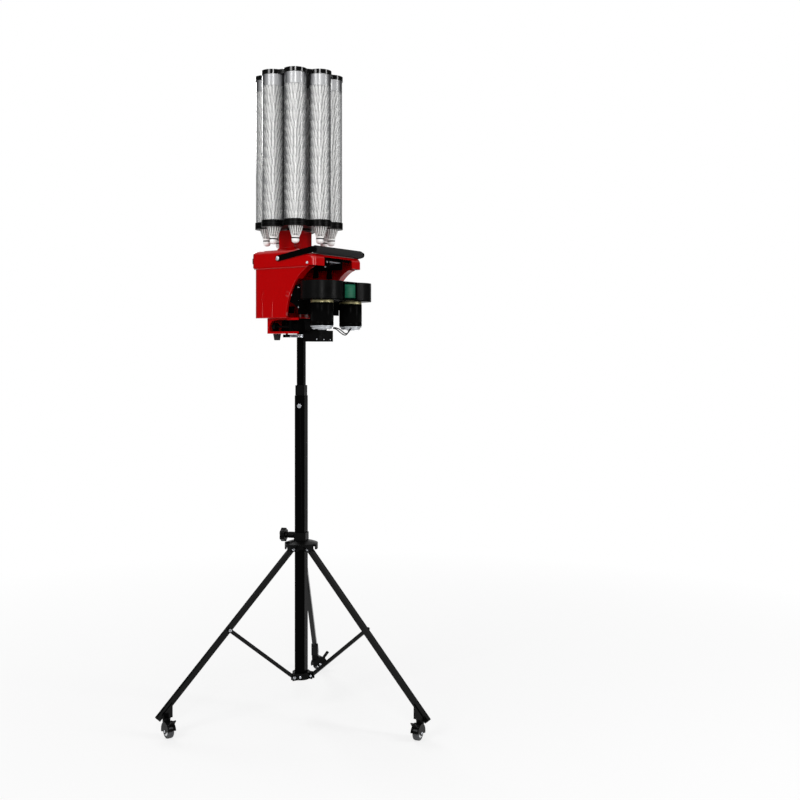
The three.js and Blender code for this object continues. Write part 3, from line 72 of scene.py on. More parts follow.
def add_node(tree, kind, links=None, **settings):
    node = tree.nodes.new(kind)
    for name, value in settings.items():
        setattr(node, name, value)
    for socket, value in (links or {}).items():
        if isinstance(value, bpy.types.NodeSocket):
            tree.links.new(value, node.inputs[socket])
        else:
            node.inputs[socket].default_value = value
    return node


world = bpy.data.worlds.new("studio room")
bpy.context.scene.world = world
world.use_nodes = True
room = world.node_tree
room.nodes.clear()
ray = add_node(room, "ShaderNodeLightPath")
seen = add_node(room, "ShaderNodeMath", {0: ray.outputs["Is Camera Ray"],
                                         1: ray.outputs["Is Transmission Ray"]}, operation="MAXIMUM")
way = add_node(room, "ShaderNodeTexCoord")
way_up = add_node(room, "ShaderNodeSeparateXYZ", {0: way.outputs["Generated"]})
ceiling = add_node(room, "ShaderNodeMapRange", {
    "Value": way_up.outputs["Z"], "From Min": 0.25, "From Max": 0.7, "To Min": 0.03, "To Max": 0.9})
ahead = add_node(room, "ShaderNodeVectorMath", {0: way.outputs["Generated"], 1: toward_mast},
                 operation="DOT_PRODUCT")
backdrop = add_node(room, "ShaderNodeMapRange", {
    "Value": ahead.outputs["Value"], "From Min": 0.78, "From Max": 0.97, "To Min": 0.0, "To Max": 0.9})
white_part = add_node(room, "ShaderNodeMath", {0: ceiling.outputs[0], 1: backdrop.outputs[0]},
                      operation="MAXIMUM")
mirrored = add_node(room, "ShaderNodeMath", {0: ray.outputs["Is Glossy Ray"], 1: white_part.outputs[0]},
                    operation="MULTIPLY")
plain = add_node(room, "ShaderNodeMath", {0: 1.0, 1: ray.outputs["Is Glossy Ray"]}, operation="SUBTRACT")
shown = add_node(room, "ShaderNodeMath", {0: seen.outputs[0], 1: mirrored.outputs[0]}, operation="MAXIMUM")
base = add_node(room, "ShaderNodeMath", {0: plain.outputs[0], 1: 0.4}, operation="MULTIPLY")
strength = add_node(room, "ShaderNodeMath", {0: base.outputs[0], 1: shown.outputs[0]}, operation="MAXIMUM")
room_light = add_node(room, "ShaderNodeBackground", {
    "Color": linear("#ffffff"), "Strength": strength.outputs[0]})
add_node(room, "ShaderNodeOutputWorld", {"Surface": room_light.outputs[0]})

bpy.ops.mesh.primitive_plane_add(size=60, location=(0, 0, 0))
floor = bpy.context.object
floor.name = "studio_floor"
paper = bpy.data.materials.new("white paper roll")
paper.use_nodes = True
tree = paper.node_tree
tree.nodes.clear()
ray = add_node(tree, "ShaderNodeLightPath")
lit = add_node(tree, "ShaderNodeBsdfDiffuse", {"Color": linear("#f4f4f4")})
glow = add_node(tree, "ShaderNodeEmission", {"Color": linear("#ffffff"), "Strength": 1.0})
place = add_node(tree, "ShaderNodeTexCoord")
reach = add_node(tree, "ShaderNodeVectorMath", {0: place.outputs["Object"]}, operation="LENGTH")
bright = add_node(tree, "ShaderNodeMapRange", {
    "Value": reach.outputs["Value"], "From Min": 0.5, "From Max": 3.0, "To Min": 0.7, "To Max": 1.0})
mirrored = add_node(tree, "ShaderNodeMath", {0: ray.outputs["Is Glossy Ray"], 1: 0.5}, operation="MULTIPLY")
shown = add_node(tree, "ShaderNodeMath", {0: ray.outputs["Is Camera Ray"], 1: mirrored.outputs[0]},
                 operation="MAXIMUM")
share = add_node(tree, "ShaderNodeMath", {0: shown.outputs[0], 1: bright.outputs[0]}, operation="MULTIPLY")
mixed = add_node(tree, "ShaderNodeMixShader", {0: share.outputs[0], 1: lit.outputs[0], 2: glow.outputs[0]})
add_node(tree, "ShaderNodeOutputMaterial", {"Surface": mixed.outputs[0]})
floor.data.materials.append(paper)

side = Vector((-toward_mast.y, toward_mast.x, 0))
aim_height = 1.3
soft_boxes = {
    "key": (side * 2.4 - toward_mast * 2.8 + Vector((0, 0, 3.0)), 1.2, 2.0, 46),
    "front": (toward_mast * -4.3 + Vector((0, 0, 2.5)), 0.5, 2.1, 64),
    "fill": (side * -3.0 - toward_mast * 1.4 + Vector((0, 0, 1.9)), 0.6, 2.6, 40),
    "back": (side * 1.4 + toward_mast * 2.6 + Vector((0, 0, 3.2)), 1.2, 1.6, 40),
}
for name, (place, width, height, power) in soft_boxes.items():
    aim = Vector((0, 0, aim_height)) - place
    bpy.ops.object.light_add(type="AREA", location=place + mast_foot,
                             rotation=aim.to_track_quat("-Z", "Y").to_euler())
    lamp = bpy.context.object
    lamp.name = "soft_box_" + name
    lamp.data.shape = "RECTANGLE"
    lamp.data.size, lamp.data.size_y = width, height
    lamp.data.energy = power

# Motor leads. Two soft black PVC-covered wires hang from one motor's end cap to the other's.
# They are drawn through the same points as their solids.
def start_finish(name, colour, roughness, metallic=0.0, **sockets):
    material = bpy.data.materials.new(name)
    material.use_nodes = True
    material.diffuse_color = linear(colour)
    shader = material.node_tree.nodes["Principled BSDF"]
    shader.inputs["Base Color"].default_value = linear(colour)
    shader.inputs["Roughness"].default_value = roughness
    shader.inputs["Metallic"].default_value = metallic
    for socket, value in sockets.items():
        shader.inputs[socket.replace("_", " ")].default_value = value
    return material, material.node_tree, shader


def add_relief(tree, shader, height, depth, distance=0.001):
    relief = add_node(tree, "ShaderNodeBump", {"Height": height, "Strength": depth, "Distance": distance})
    tree.links.new(relief.outputs["Normal"], shader.inputs["Normal"])


def object_grain(tree, size_mm, detail=2.0, stretch=(1, 1, 1)):
    place = add_node(tree, "ShaderNodeTexCoord")
    turned = add_node(tree, "ShaderNodeMapping", {"Vector": place.outputs["Object"], "Scale": stretch})
    return add_node(tree, "ShaderNodeTexNoise", {
        "Vector": turned.outputs[0], "Scale": 1000 / size_mm, "Detail": detail})


def wandering_shine(tree, shader, grain, low, high):
    """Lets the roughness wander between two values with the grain."""
    shade = add_node(tree, "ShaderNodeMapRange", {
        "Value": grain.outputs["Fac"], "From Min": 0.3, "From Max": 0.7, "To Min": low, "To Max": high})
    tree.links.new(shade.outputs[0], shader.inputs["Roughness"])


# Black PVC: soft sheath with a low sheen, faintly uneven from the extruder.
pvc, tree, shader = start_finish("black PVC wire sheath", "#080808", 0.5, Specular_IOR_Level=0.1)
add_relief(tree, shader, object_grain(tree, 3).outputs["Fac"], 0.15)


def at(x, y, z):
    """A point in metres, from its place in millimetres from the foot of the mast."""
    return Vector((x, y, z)) / 1000 + mast_foot


lead_routes = {
    "motor_lead_upper": [
        (-58.1, -183.1, 1342), (-55.4, -186.4, 1342), (-49.6, -190.4, 1340.8), (-38, -193.5, 1337),
        (-22, -194, 1330), (-8, -192, 1324.6), (6, -189, 1322.6), (18, -186.3, 1324.4),
        (28, -183.9, 1328.6), (37, -182, 1334), (43.6, -181.2, 1338.8), (48.6, -179.6, 1341.6),
        (51.9, -177, 1342)],
    "motor_lead_lower": [
        (-53.2, -178.4, 1339.4), (-50, -181.2, 1339.4), (-43.6, -185, 1336.8), (-34, -188, 1330.4),
        (-22, -189.6, 1323.6), (-9, -189.3, 1319), (4, -187, 1317.8), (16, -184, 1320.4),
        (27, -180.6, 1325.2), (36, -177.8, 1331), (42, -176.6, 1335.8), (46.4, -175, 1339),
        (49.4, -173.2, 1339.6)],
}
for name, route in lead_routes.items():
    points = [at(*place) for place in route]
    curve = bpy.data.curves.new(name + "_wire", "CURVE")
    curve.dimensions = "3D"
    curve.bevel_depth = 0.0019
    curve.bevel_resolution = 4
    curve.use_fill_caps = True
    spline = curve.splines.new("POLY")
    smooth = []
    for index in range(len(points) - 1):
        a = points[max(index - 1, 0)]
        b, c = points[index], points[index + 1]
        d = points[min(index + 2, len(points) - 1)]
        for step in range(4):
            t = step / 4
            smooth.append(0.5 * ((2 * b) + (c - a) * t + (2 * a - 5 * b + 4 * c - d) * t ** 2
                                 + (3 * b - a - 3 * c + d) * t ** 3))
    smooth.append(points[-1])
    spline.points.add(len(smooth) - 1)
    for point, place in zip(spline.points, smooth):
        point.co = (*place, 1)
    wire = bpy.data.objects.new(name + "_wire", curve)
    bpy.context.scene.collection.objects.link(wire)
    wire.data.materials.append(pvc)
    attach(wire, "throwing_unit")
    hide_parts(name)

# Mast. Black powder-coated square steel tubes, the smaller one sliding in the larger, with a
# moulded guide collar on top of the outer tube and a zinc-plated lock bolt in its side.
def deselect():
    if bpy.context.object and bpy.context.object.mode != "OBJECT":
        bpy.ops.object.mode_set(mode="OBJECT")
    bpy.ops.object.select_all(action="DESELECT")


def pick(piece):
    deselect()
    piece.select_set(True)
    bpy.context.view_layer.objects.active = piece


def apply_modifier(piece, kind, **settings):
    pick(piece)
    modifier = piece.modifiers.new(kind.lower(), kind)
    for name, value in settings.items():
        setattr(modifier, name, value)
    bpy.ops.object.modifier_apply(modifier=modifier.name)


def turned(name, profile, foot, axis=(0, 0, 1), sides=32):
    """A closed turned piece: a disc extruded and resized through pairs of radius and height."""
    deselect()
    turn = Vector(axis).to_track_quat("Z", "Y")
    bpy.ops.mesh.primitive_circle_add(
        vertices=sides, radius=profile[0][0] / 1000, fill_type="NGON", rotation=turn.to_euler(),
        location=foot + turn @ Vector((0, 0, profile[0][1] / 1000)))
    piece = bpy.context.object
    piece.name = name
    bpy.ops.object.mode_set(mode="EDIT")
    bpy.ops.mesh.select_all(action="SELECT")
    for (radius, height), (next_radius, next_height) in zip(profile, profile[1:]):
        bpy.ops.mesh.extrude_region()
        bpy.ops.transform.translate(value=turn @ Vector((0, 0, (next_height - height) / 1000)))
        bpy.ops.transform.resize(
            value=(next_radius / radius,) * 3,
            center_override=foot + turn @ Vector((0, 0, next_height / 1000)))
    bpy.ops.mesh.select_all(action="SELECT")
    bpy.ops.mesh.normals_make_consistent(inside=False)
    bpy.ops.object.mode_set(mode="OBJECT")
    return piece


def pick_faces(piece, wanted):
    """Selects, in edit mode, the faces whose middle and normal pass the test."""
    pick(piece)
    bpy.ops.object.mode_set(mode="EDIT")
    bpy.ops.mesh.select_mode(type="FACE")
    bpy.ops.mesh.select_all(action="DESELECT")
    bpy.ops.object.mode_set(mode="OBJECT")
    for face in piece.data.polygons:
        face.select = wanted(face.center, face.normal)
    bpy.ops.object.mode_set(mode="EDIT")


def second_finish(piece, material, wanted):
    """Gives another material to the faces that pass the test."""
    piece.data.materials.append(material)
    pick_faces(piece, wanted)
    piece.active_material_index = 1
    bpy.ops.object.material_slot_assign()
    bpy.ops.object.mode_set(mode="OBJECT")


def merged_copy(node, name):
    """A copy of a solid's mesh with its corners welded and its flat faces made whole."""
    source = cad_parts[node]
    piece = bpy.data.objects.new(name, source.data.copy())
    bpy.context.scene.collection.objects.link(piece)
    piece.data.materials.clear()
    pick(piece)
    bpy.ops.object.mode_set(mode="EDIT")
    bpy.ops.mesh.select_all(action="SELECT")
    bpy.ops.mesh.remove_doubles(threshold=0.00002)
    bpy.ops.mesh.dissolve_limited(angle_limit=math.radians(0.6))
    bpy.ops.object.mode_set(mode="OBJECT")
    return piece


def seat(piece, body, material, edge_mm=0.0, segments=2, smooth=32):
    """Applies the place, softens the edges, shades, and hands the piece to its body."""
    pick(piece)
    bpy.ops.object.transform_apply(location=True, rotation=True, scale=True)
    if edge_mm:
        apply_modifier(piece, "BEVEL", width=edge_mm / 1000, segments=segments, limit_method="ANGLE",
                       angle_limit=math.radians(35), use_clamp_overlap=True)
    pick(piece)
    bpy.ops.object.shade_smooth_by_angle(angle=math.radians(smooth))
    if edge_mm:
        apply_modifier(piece, "WEIGHTED_NORMAL", keep_sharp=True)
    if not piece.data.materials:
        piece.data.materials.append(material)
    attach(piece, body)
    return piece


def dress(node, body, material, edge_mm=0.6, segments=2, smooth=32):
    """A finished piece of the same form as its solid, with eased edges."""
    piece = merged_copy(node, node + "_finished")
    seat(piece, body, material, edge_mm, segments, smooth)
    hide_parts(node)
    return piece


# Black powder coat: satin, with a fine orange peel of about 1.5 mm, drawn a little coarse.
powder_coat, tree, shader = start_finish("black powder coat", "#050505", 0.3, Specular_IOR_Level=0.012)
add_relief(tree, shader, object_grain(tree, 2.2, 1.0).outputs["Fac"], 0.06)
wandering_shine(tree, shader, object_grain(tree, 60, 3.0), 0.2, 0.3)

# Moulded black ABS: spark-eroded mould texture, about 0.8 mm, with a low sheen.
black_abs, tree, shader = start_finish("moulded black ABS", "#050505", 0.28, Specular_IOR_Level=0.07)
add_relief(tree, shader, object_grain(tree, 1.6, 2.0).outputs["Fac"], 0.1)
wandering_shine(tree, shader, object_grain(tree, 45, 3.0), 0.28, 0.4)

# Zinc-plated steel: bright, slightly uneven, with fine turning marks.
zinc, tree, shader = start_finish("zinc-plated steel", "#c9ccd1", 0.26, 1.0)
marks = object_grain(tree, 1.2, 2.0, (1, 1, 6))
wandering_shine(tree, shader, marks, 0.2, 0.36)
add_relief(tree, shader, marks.outputs["Fac"], 0.06)

dress("mast_outer", "tripod", powder_coat, 1.6, 3)
dress("mast_inner", "head_mast", powder_coat, 1.2, 3)
dress("mast_top_collar", "tripod", black_abs, 1.0, 2)
dress("mast_bottom_bracket", "tripod", black_abs, 0.6, 2)
dress("mast_lock_bolt", "lock_bolt", zinc, 0.5, 2)

# Hub. A domed ABS moulding slides on the mast, holds the three legs on
# zinc-plated pins, and is clamped by a star knob on a steel screw.
def cut_or_join(piece, other, operation):
    apply_modifier(piece, "BOOLEAN", object=other, operation=operation, solver="EXACT")
    bpy.data.objects.remove(other, do_unlink=True)


def compass(angle):
    """A level direction, from its angle about the mast."""
    return Vector((math.cos(angle), math.sin(angle), 0))


def screw(name, place, axis, radius, height, body, sides=20):
    """A domed, zinc-plated screw with a hexagon socket."""
    head = turned(name, [(radius, 0), (radius, height * 0.45), (radius * 0.9, height * 0.78),
                         (radius * 0.6, height), (radius * 0.42, height)], at(*place), axis, sides)
    turn = Vector(axis).to_track_quat("Z", "Y")
    socket = turned("socket", [(radius * 0.4, height * 0.45), (radius * 0.4, height * 1.2)],
                    at(*place), axis, 6)
    cut_or_join(head, socket, "DIFFERENCE")
    return seat(head, body, zinc, smooth=50)


leg_turns = [math.radians(120 * k - 88) for k in range(3)]
up = Vector((0, 0, 1))
leg_pivot_reach, leg_pivot_height, bracket_height = 35.5, 574, 131
hub = merged_copy("hub_spreader", "hub_spreader_moulding")
forward = compass(math.radians(212))
arch = turned("arch", [(34, 0), (34, 30)], at(*(forward * 43 + up * 557.5)), forward, 64)
cut_or_join(hub, arch, "DIFFERENCE")
knob_way = compass(math.radians(110))
boss = turned("boss", [(11, 0), (11, 20), (9.4, 25.6), (5.5, 26.4)], at(*(knob_way * 25 + up * 619)),
              knob_way, 32)
cut_or_join(hub, boss, "UNION")
seat(hub, "hub", black_abs, 0.8, 2)
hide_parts("hub_spreader")
dress("hub_knob", "clamp_knob", black_abs, 1.6, 3)
for number, angle in enumerate(leg_turns, 1):
    outward = compass(angle)
    across = compass(angle + math.pi / 2)
    for side_name, way in (("a", 1), ("b", -1)):
        pin = outward * leg_pivot_reach + across * 11.6 * way + up * leg_pivot_height
        screw(f"hub_pin_{number}{side_name}", pin, across * way, 5.8, 3.6, "hub")
    for side_name, reach, shift, way, radius, height in (
            ("a", 35, 21.1, 1, 5.8, 3.6), ("b", 36, 5.9, -1, 4.6, 2.8)):
        pin = outward * reach + across * shift + up * bracket_height
        screw(f"bracket_pin_{number}{side_name}", pin, across * way, radius, height, "tripod")
    between = compass(angle + math.pi / 3)
    screw(f"bracket_screw_{number}", between * 30.6 + up * bracket_height, between, 4.4, 2.6, "tripod")

# Legs and struts. Square tube legs with plastic end plugs, and flat bar struts bolted beside
# them. Both are in gloss black enamel, so their rounded edges catch the light as thin lines.
tube_enamel, tree, shader = start_finish("gloss black enamel", "#040404", 0.15, Specular_IOR_Level=0.16)
wandering_shine(tree, shader, object_grain(tree, 40, 2.0), 0.1, 0.22)


def slab(name, low, high):
    """A rectangular block between two corners, given in millimetres from the foot of the mast."""
    deselect()
    low, high = Vector(low), Vector(high)
    bpy.ops.mesh.primitive_cube_add(size=1, location=at(*((low + high) / 2)))
    bpy.ops.transform.resize(value=(high - low) / 1000)
    piece = bpy.context.object
    piece.name = name
    return piece


leg_tilt, leg_length, strut_joint_reach = math.radians(42.7), 699, 341
for number, angle in enumerate(leg_turns, 1):
    outward = compass(angle)
    across = compass(angle + math.pi / 2)
    along = outward * math.sin(leg_tilt) - up * math.cos(leg_tilt)
    pivot = outward * leg_pivot_reach + up * leg_pivot_height
    dress(f"leg_{number}", f"leg_{number}", tube_enamel, 2.2, 4)
    dress(f"strut_{number}", f"strut_{number}", tube_enamel, 1.2, 3)
    plug = slab(f"leg_plug_{number}", (-8.3, -8.3, -1), (8.3, 8.3, 0.5))
    pick_faces(plug, lambda middle, normal: normal.z > 0.9)
    bpy.ops.mesh.inset(thickness=0.0022)
    bpy.ops.mesh.extrude_region_shrink_fatten(TRANSFORM_OT_shrink_fatten={"value": 0.0005})
    bpy.ops.object.mode_set(mode="OBJECT")
    pick(plug)
    plug.location -= mast_foot
    bpy.ops.object.transform_apply(location=True, rotation=True, scale=True)
    turn = Matrix((across, along.cross(across), along)).transposed().to_4x4()
    plug.matrix_world = Matrix.Translation(at(*(pivot + along * leg_length))) @ turn
    seat(plug, f"leg_{number}", black_abs, 0.2, 2)
    joint = pivot + along * strut_joint_reach + across * 17.8
    screw(f"strut_bolt_{number}", joint, across, 5.8, 3.6, f"strut_{number}")

# Casters. Hooded ABS forks swivel under the legs, with grey rubber-treaded wheels, chromed
# hub rings and a brake pedal at the back of each hood.
# Grey tread: thermoplastic rubber, matt and scuffed.
tread_rubber, tree, shader = start_finish("grey thermoplastic rubber tread", "#3f4042", 0.7)
add_relief(tree, shader, object_grain(tree, 6, 4.0).outputs["Fac"], 0.25)
# Chromium plate: mirror-bright over a pressed ring.
chrome, tree, shader = start_finish("chromium plate", "#dcdee0", 0.08, 1.0)
wandering_shine(tree, shader, object_grain(tree, 3, 2.0), 0.05, 0.16)
caster_circle, caster_trail = 480, 17
caster_headings = [math.radians(heading) for heading in (8, 154, 69)]
for number, (angle, heading) in enumerate(zip(leg_turns, caster_headings), 1):
    back = -compass(heading)
    axle = compass(heading + math.pi / 2)
    middle = compass(angle) * caster_circle + back * caster_trail + up * 24
    dress(f"caster_fork_{number}", f"caster_{number}", black_abs, 0.8, 2)
    dress(f"caster_brake_{number}", f"brake_{number}", black_abs, 0.8, 2)
    tyre = turned(f"caster_tyre_{number}", [
        (17, -9.6), (21.6, -10), (23.2, -8.8), (24, -6.4), (24, -1.6), (23.3, -1.2), (23.3, 1.2), (24, 1.6),
        (24, 6.4), (23.2, 8.8), (21.6, 10), (17, 9.6)], at(*middle), axle, 56)
    cut_or_join(tyre, turned("bore", [(4.3, -14), (4.3, 14)], at(*middle), axle, 32), "DIFFERENCE")
    seat(tyre, f"wheel_{number}", tread_rubber, smooth=40)
    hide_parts(f"caster_wheel_{number}")
    for side_name, way in (("a", 1), ("b", -1)):
        ring = turned(f"hub_ring_{number}{side_name}", [
            (14.5, 0), (14.5, 0.8), (13.6, 1.3), (10.6, 1.3), (9.8, 0.5), (5, 0.5)],
            at(*(middle + axle * way * 9.5)), axle * way, 48)
        seat(ring, f"wheel_{number}", chrome, smooth=50)
        screw(f"axle_nut_{number}{side_name}", middle + axle * way * 13.8, axle * way, 4.4, 1.8,
              f"caster_{number}")

# Pan drive. A bright ribbed gear is fixed on the mast, and a black moulded pinion on the motor's
# shaft runs round it under the base.
dress("pan_gear", "head_mast", zinc, 0.0)
dress("pan_pinion", "pinion", black_abs, 0.0)
dress("pan_motor", "head", powder_coat, 0.8)

# Base. A tray of pressed red sheet steel under the body, with a long arched window in each
# side, stands on two rubber feet. The black support box is screwed under its front, and the
# elevation rod and its ribbed knob lie in the near window.
# Red stove enamel: deep gloss paint over pressed sheet; a clear coat and a faint orange peel.
red_enamel, tree, shader = start_finish(
    "red stove enamel", "#aa0002", 0.4, Specular_IOR_Level=0.02, Coat_Weight=1.0, Coat_Roughness=0.04)
add_relief(tree, shader, object_grain(tree, 5.0, 1.0).outputs["Fac"], 0.02)
wandering_shine(tree, shader, object_grain(tree, 90, 2.0), 0.24, 0.36)
# Black rubber: matt and slightly dusty.
black_rubber, tree, shader = start_finish("moulded black rubber", "#101010", 0.75, Specular_IOR_Level=0.3)
add_relief(tree, shader, object_grain(tree, 4, 4.0).outputs["Fac"], 0.2)


def round_edges(piece, wanted, radius, segments=4):
    """Rounds the edges whose middle and direction pass the test."""
    pick(piece)
    bpy.ops.object.transform_apply(location=True, rotation=True, scale=True)
    bpy.ops.object.mode_set(mode="EDIT")
    bpy.ops.mesh.select_mode(type="EDGE")
    bpy.ops.mesh.select_all(action="DESELECT")
    bpy.ops.object.mode_set(mode="OBJECT")
    points = piece.data.vertices
    for edge in piece.data.edges:
        a, b = (points[i].co - mast_foot for i in edge.vertices)
        edge.select = wanted((a + b) * 500, (b - a).normalized())
    bpy.ops.object.mode_set(mode="EDIT")
    bpy.ops.mesh.bevel(offset=radius / 1000, segments=segments, affect="EDGES")
    bpy.ops.object.mode_set(mode="OBJECT")
    return piece


tray = merged_copy("head_base", "head_base_tray")
for side_x, reach in ((-103.5, -70), (103.5, -50)):
    cut_or_join(tray, slab("cheek", (side_x - 1.5, reach, 1323), (side_x + 1.5, -30, 1375.6)), "UNION")
window = slab("window", (-112, -84, 1330), (112, 57, 1369))
round_edges(window, lambda middle, way: abs(way.x) > 0.9 and middle.y > 50 and middle.z > 1360, 26, 8)
round_edges(window, lambda middle, way: abs(way.x) > 0.9 and middle.y > 50 and middle.z < 1340, 8, 4)
inner = slab("inner", (-101.9, -90, 1320), (101.9, 64, 1380))
cut_or_join(window, inner, "DIFFERENCE")
cut_or_join(tray, window, "DIFFERENCE")
tray.data.materials.append(red_enamel)
# Painted shade: the tray's faces in front of the mast inside the side walls, red steel lying in shadow
# behind the windows, are given black powder coat.
second_finish(tray, powder_coat, lambda middle, normal: (
    middle.y < mast_foot.y - 0.029 and abs(middle.x - mast_foot.x) < 0.1024))
seat(tray, "head", red_enamel, 0.8, 2)
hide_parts("head_base")

for side_name in ("left", "right"):
    dress(f"rear_foot_{side_name}", "head", black_rubber, 1.0, 2, 40)
dress("support_box", "head", black_abs, 1.6, 3)
dress("elevation_knob", "elevation", black_abs, 0.8, 2)

support_screws = (
    ((-38, -98, 1304), (-1, 0, 0)), ((-18, -113, 1303), (0, -1, 0)), ((18, -113, 1303), (0, -1, 0)))
for number, (place, way) in enumerate(support_screws, 1):
    screw(f"support_screw_{number}", place, way, 2.6, 1.4, "head")

# Body shell, lid and neck. Folded and welded red sheet steel, 3 mm at the edges, with rolled
# corners at the rear. The lid is a pressed hood screwed over the shell, and the flared neck
# stands on it.
dress("body_shell", "head", red_enamel, 1.3, 3)
for side_name, side_x in (("left", -1), ("right", 1)):
    bpy.ops.curve.primitive_bezier_curve_add()
    edge_line = bpy.context.object
    edge_line.name = f"arch_flange_{side_name}"
    low, high = edge_line.data.splines[0].bezier_points
    low.handle_left_type = low.handle_right_type = high.handle_left_type = high.handle_right_type = "FREE"
    low.co, low.handle_right = at(114 * side_x, -134, 1547.5), at(114 * side_x, -80, 1524.8)
    high.co, high.handle_left = at(114 * side_x, -36.6, 1377), at(114 * side_x, -38, 1448.7)
    edge_line.data.splines[0].resolution_u = 40
    edge_line.data.twist_mode = "Z_UP"
    low.tilt = high.tilt = math.pi / 2
    edge_line.data.extrude = 0.0155
    deselect()
    edge_line.select_set(True)
    bpy.context.view_layer.objects.active = edge_line
    bpy.ops.object.convert(target="MESH")
    edge_line = bpy.context.object
    apply_modifier(edge_line, "SOLIDIFY", thickness=0.002, offset=0)
    edge_line.data.materials.append(red_enamel)
    cut_or_join(edge_line, slab("room", (min(60 * side_x, 120.5 * side_x), -150, 1370),
                                (max(60 * side_x, 120.5 * side_x), 0, 1508)), "DIFFERENCE")
    seat(edge_line, "head", red_enamel, smooth=40)
    for number, (rib_y, rib_top) in enumerate(((66, 1478), (22.5, 1440)), 1):
        rise = rib_top - 1379
        rib = turned(f"side_rib_{side_name}_{number}", [
            (0.8, 0), (2.1, 2), (2.1, rise * 0.4), (1.2, rise * 0.8), (0.4, rise)],
            at(129.2 * side_x, rib_y, 1379), sides=16)
        seat(rib, "head", red_enamel, smooth=60)
lid = slab("lid_hood_pressed", (-137, -162, 1549), (137, 121, 1607))
round_edges(lid, lambda middle, way: abs(way.z) > 0.9 and middle.y > 0, 34, 10)
round_edges(lid, lambda middle, way: abs(way.z) > 0.9 and middle.y < 0, 14, 6)
pick(lid)
bpy.ops.object.mode_set(mode="EDIT")
bpy.ops.mesh.select_all(action="SELECT")
bpy.ops.mesh.bisect(plane_co=at(0, -88, 1607), plane_no=(0, -0.2747, 0.9615), clear_outer=True,
                    use_fill=True)
bpy.ops.object.mode_set(mode="OBJECT")
round_edges(lid, lambda middle, way: abs(way.z) < 0.5 and middle.z > 1580 and not (
    abs(way.x) > 0.9 and abs(middle.y + 88) < 5), 15, 6)
pick_faces(lid, lambda middle, normal: normal.z < -0.9)
bpy.ops.mesh.delete(type="FACE")
bpy.ops.object.mode_set(mode="OBJECT")
apply_modifier(lid, "SOLIDIFY", thickness=0.003, offset=-1)
cut_or_join(lid, slab("mouth", (-79, -170, 1540), (79, -155, 1579)), "DIFFERENCE")
cut_or_join(lid, turned("drop_hole", [(41, 1590), (41, 1620)], at(0, -103, 0), sides=64), "DIFFERENCE")
seat(lid, "head", red_enamel, 0.7, 2)
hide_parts("lid_hood")

dress("neck_column", "head", red_enamel, 1.6, 3)
dress("power_module", "head", black_abs, 0.4, 1)
dress("switch_rocker", "rocker", black_abs, 0.5, 2)
for number, side_x in enumerate((-1, 1), 1):
    screw(f"lid_screw_{number}", (137 * side_x, -134, 1558), (side_x, 0, 0), 5, 3, "head")
    screw(f"handle_bolt_{number}", (142.2 * side_x, -12, 1577), (side_x, 0, 0), 7.6, 5, "head", 32)
    cap = turned(f"axle_cap_{number}", [(9.5, 0), (9.5, 0.3), (9, 0.6), (3, 0.8)],
                 at(130 * side_x, -45, 1455), (side_x, 0, 0), 32)
    seat(cap, "head", red_enamel)
    catch = slab(f"lid_catch_{number}", (-2.5, -6, -9), (2.5, 6, 9))
    catch.location = at(126 * side_x, 111, 1573)
    catch.rotation_euler.z = math.atan2(0.78, side_x * 0.62)
    pick_faces(catch, lambda middle, normal: normal.x > 0.9)
    bpy.ops.mesh.inset(thickness=0.0025)
    bpy.ops.mesh.extrude_region_shrink_fatten(TRANSFORM_OT_shrink_fatten={"value": 0.002})
    bpy.ops.object.mode_set(mode="OBJECT")
    seat(catch, "head", black_abs, 0.6, 2)

# Handle. Two flat powder-coated arms turn on the lid's bolts and are joined by a cross tube,
# which carries a foam grip with a moulded cap at each end.
# EVA foam: closed cells of about 1 mm, matt; drawn at 2 mm so that they show.
foam, tree, shader = start_finish("black EVA foam", "#111112", 0.8, Specular_IOR_Level=0.3)
add_relief(tree, shader, object_grain(tree, 2.0, 3.0).outputs["Fac"], 0.5)
dress("handle_frame", "handle", powder_coat, 0.8, 2)
bar_middle = at(0, -160, 1601)
grip = turned("handle_grip_foam", [
    (10.5, -131), (12.6, -130.6), (13.4, -129), (13.5, -126),
    (13.5, 126), (13.4, 129), (12.6, 130.6), (10.5, 131)],
    bar_middle, (1, 0, 0), 48)
cut_or_join(grip, turned("bore", [(9.3, -140), (9.3, 140)], bar_middle, (1, 0, 0), 32), "DIFFERENCE")
seat(grip, "handle", foam, smooth=40)
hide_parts("handle_grip")

# Throwing unit. A folded black steel frame hangs on the tilt axle. It carries two motors with
# brass flange rings and cast end caps, and above them two green-treaded launch wheels in
# pressed shrouds.
# Green polyurethane: cast tread, satin, ground across in grooves about 3 mm apart.
green_tread, tree, shader = start_finish(
    "cast green polyurethane tread", "#08664a", 0.42, Specular_IOR_Level=0.25)
place = add_node(tree, "ShaderNodeTexCoord")
grooves = add_node(tree, "ShaderNodeTexWave", {"Vector": place.outputs["Object"], "Scale": 1000 / 3 / 6.28,
                                              "Distortion": 0.4}, bands_direction="Z")
add_relief(tree, shader, grooves.outputs["Fac"], 0.25)
# Satin brass: turned ring, dull and slightly tarnished.
brass, tree, shader = start_finish("turned satin brass", "#bdb58c", 0.38, 1.0)
wandering_shine(tree, shader, object_grain(tree, 5, 3.0), 0.3, 0.5)
# Die-cast aluminium: satin grey, with a fine cast grain.
cast_aluminium, tree, shader = start_finish("die-cast aluminium", "#b9bcc0", 0.42, 1.0)
add_relief(tree, shader, object_grain(tree, 1.5, 2.0).outputs["Fac"], 0.15)

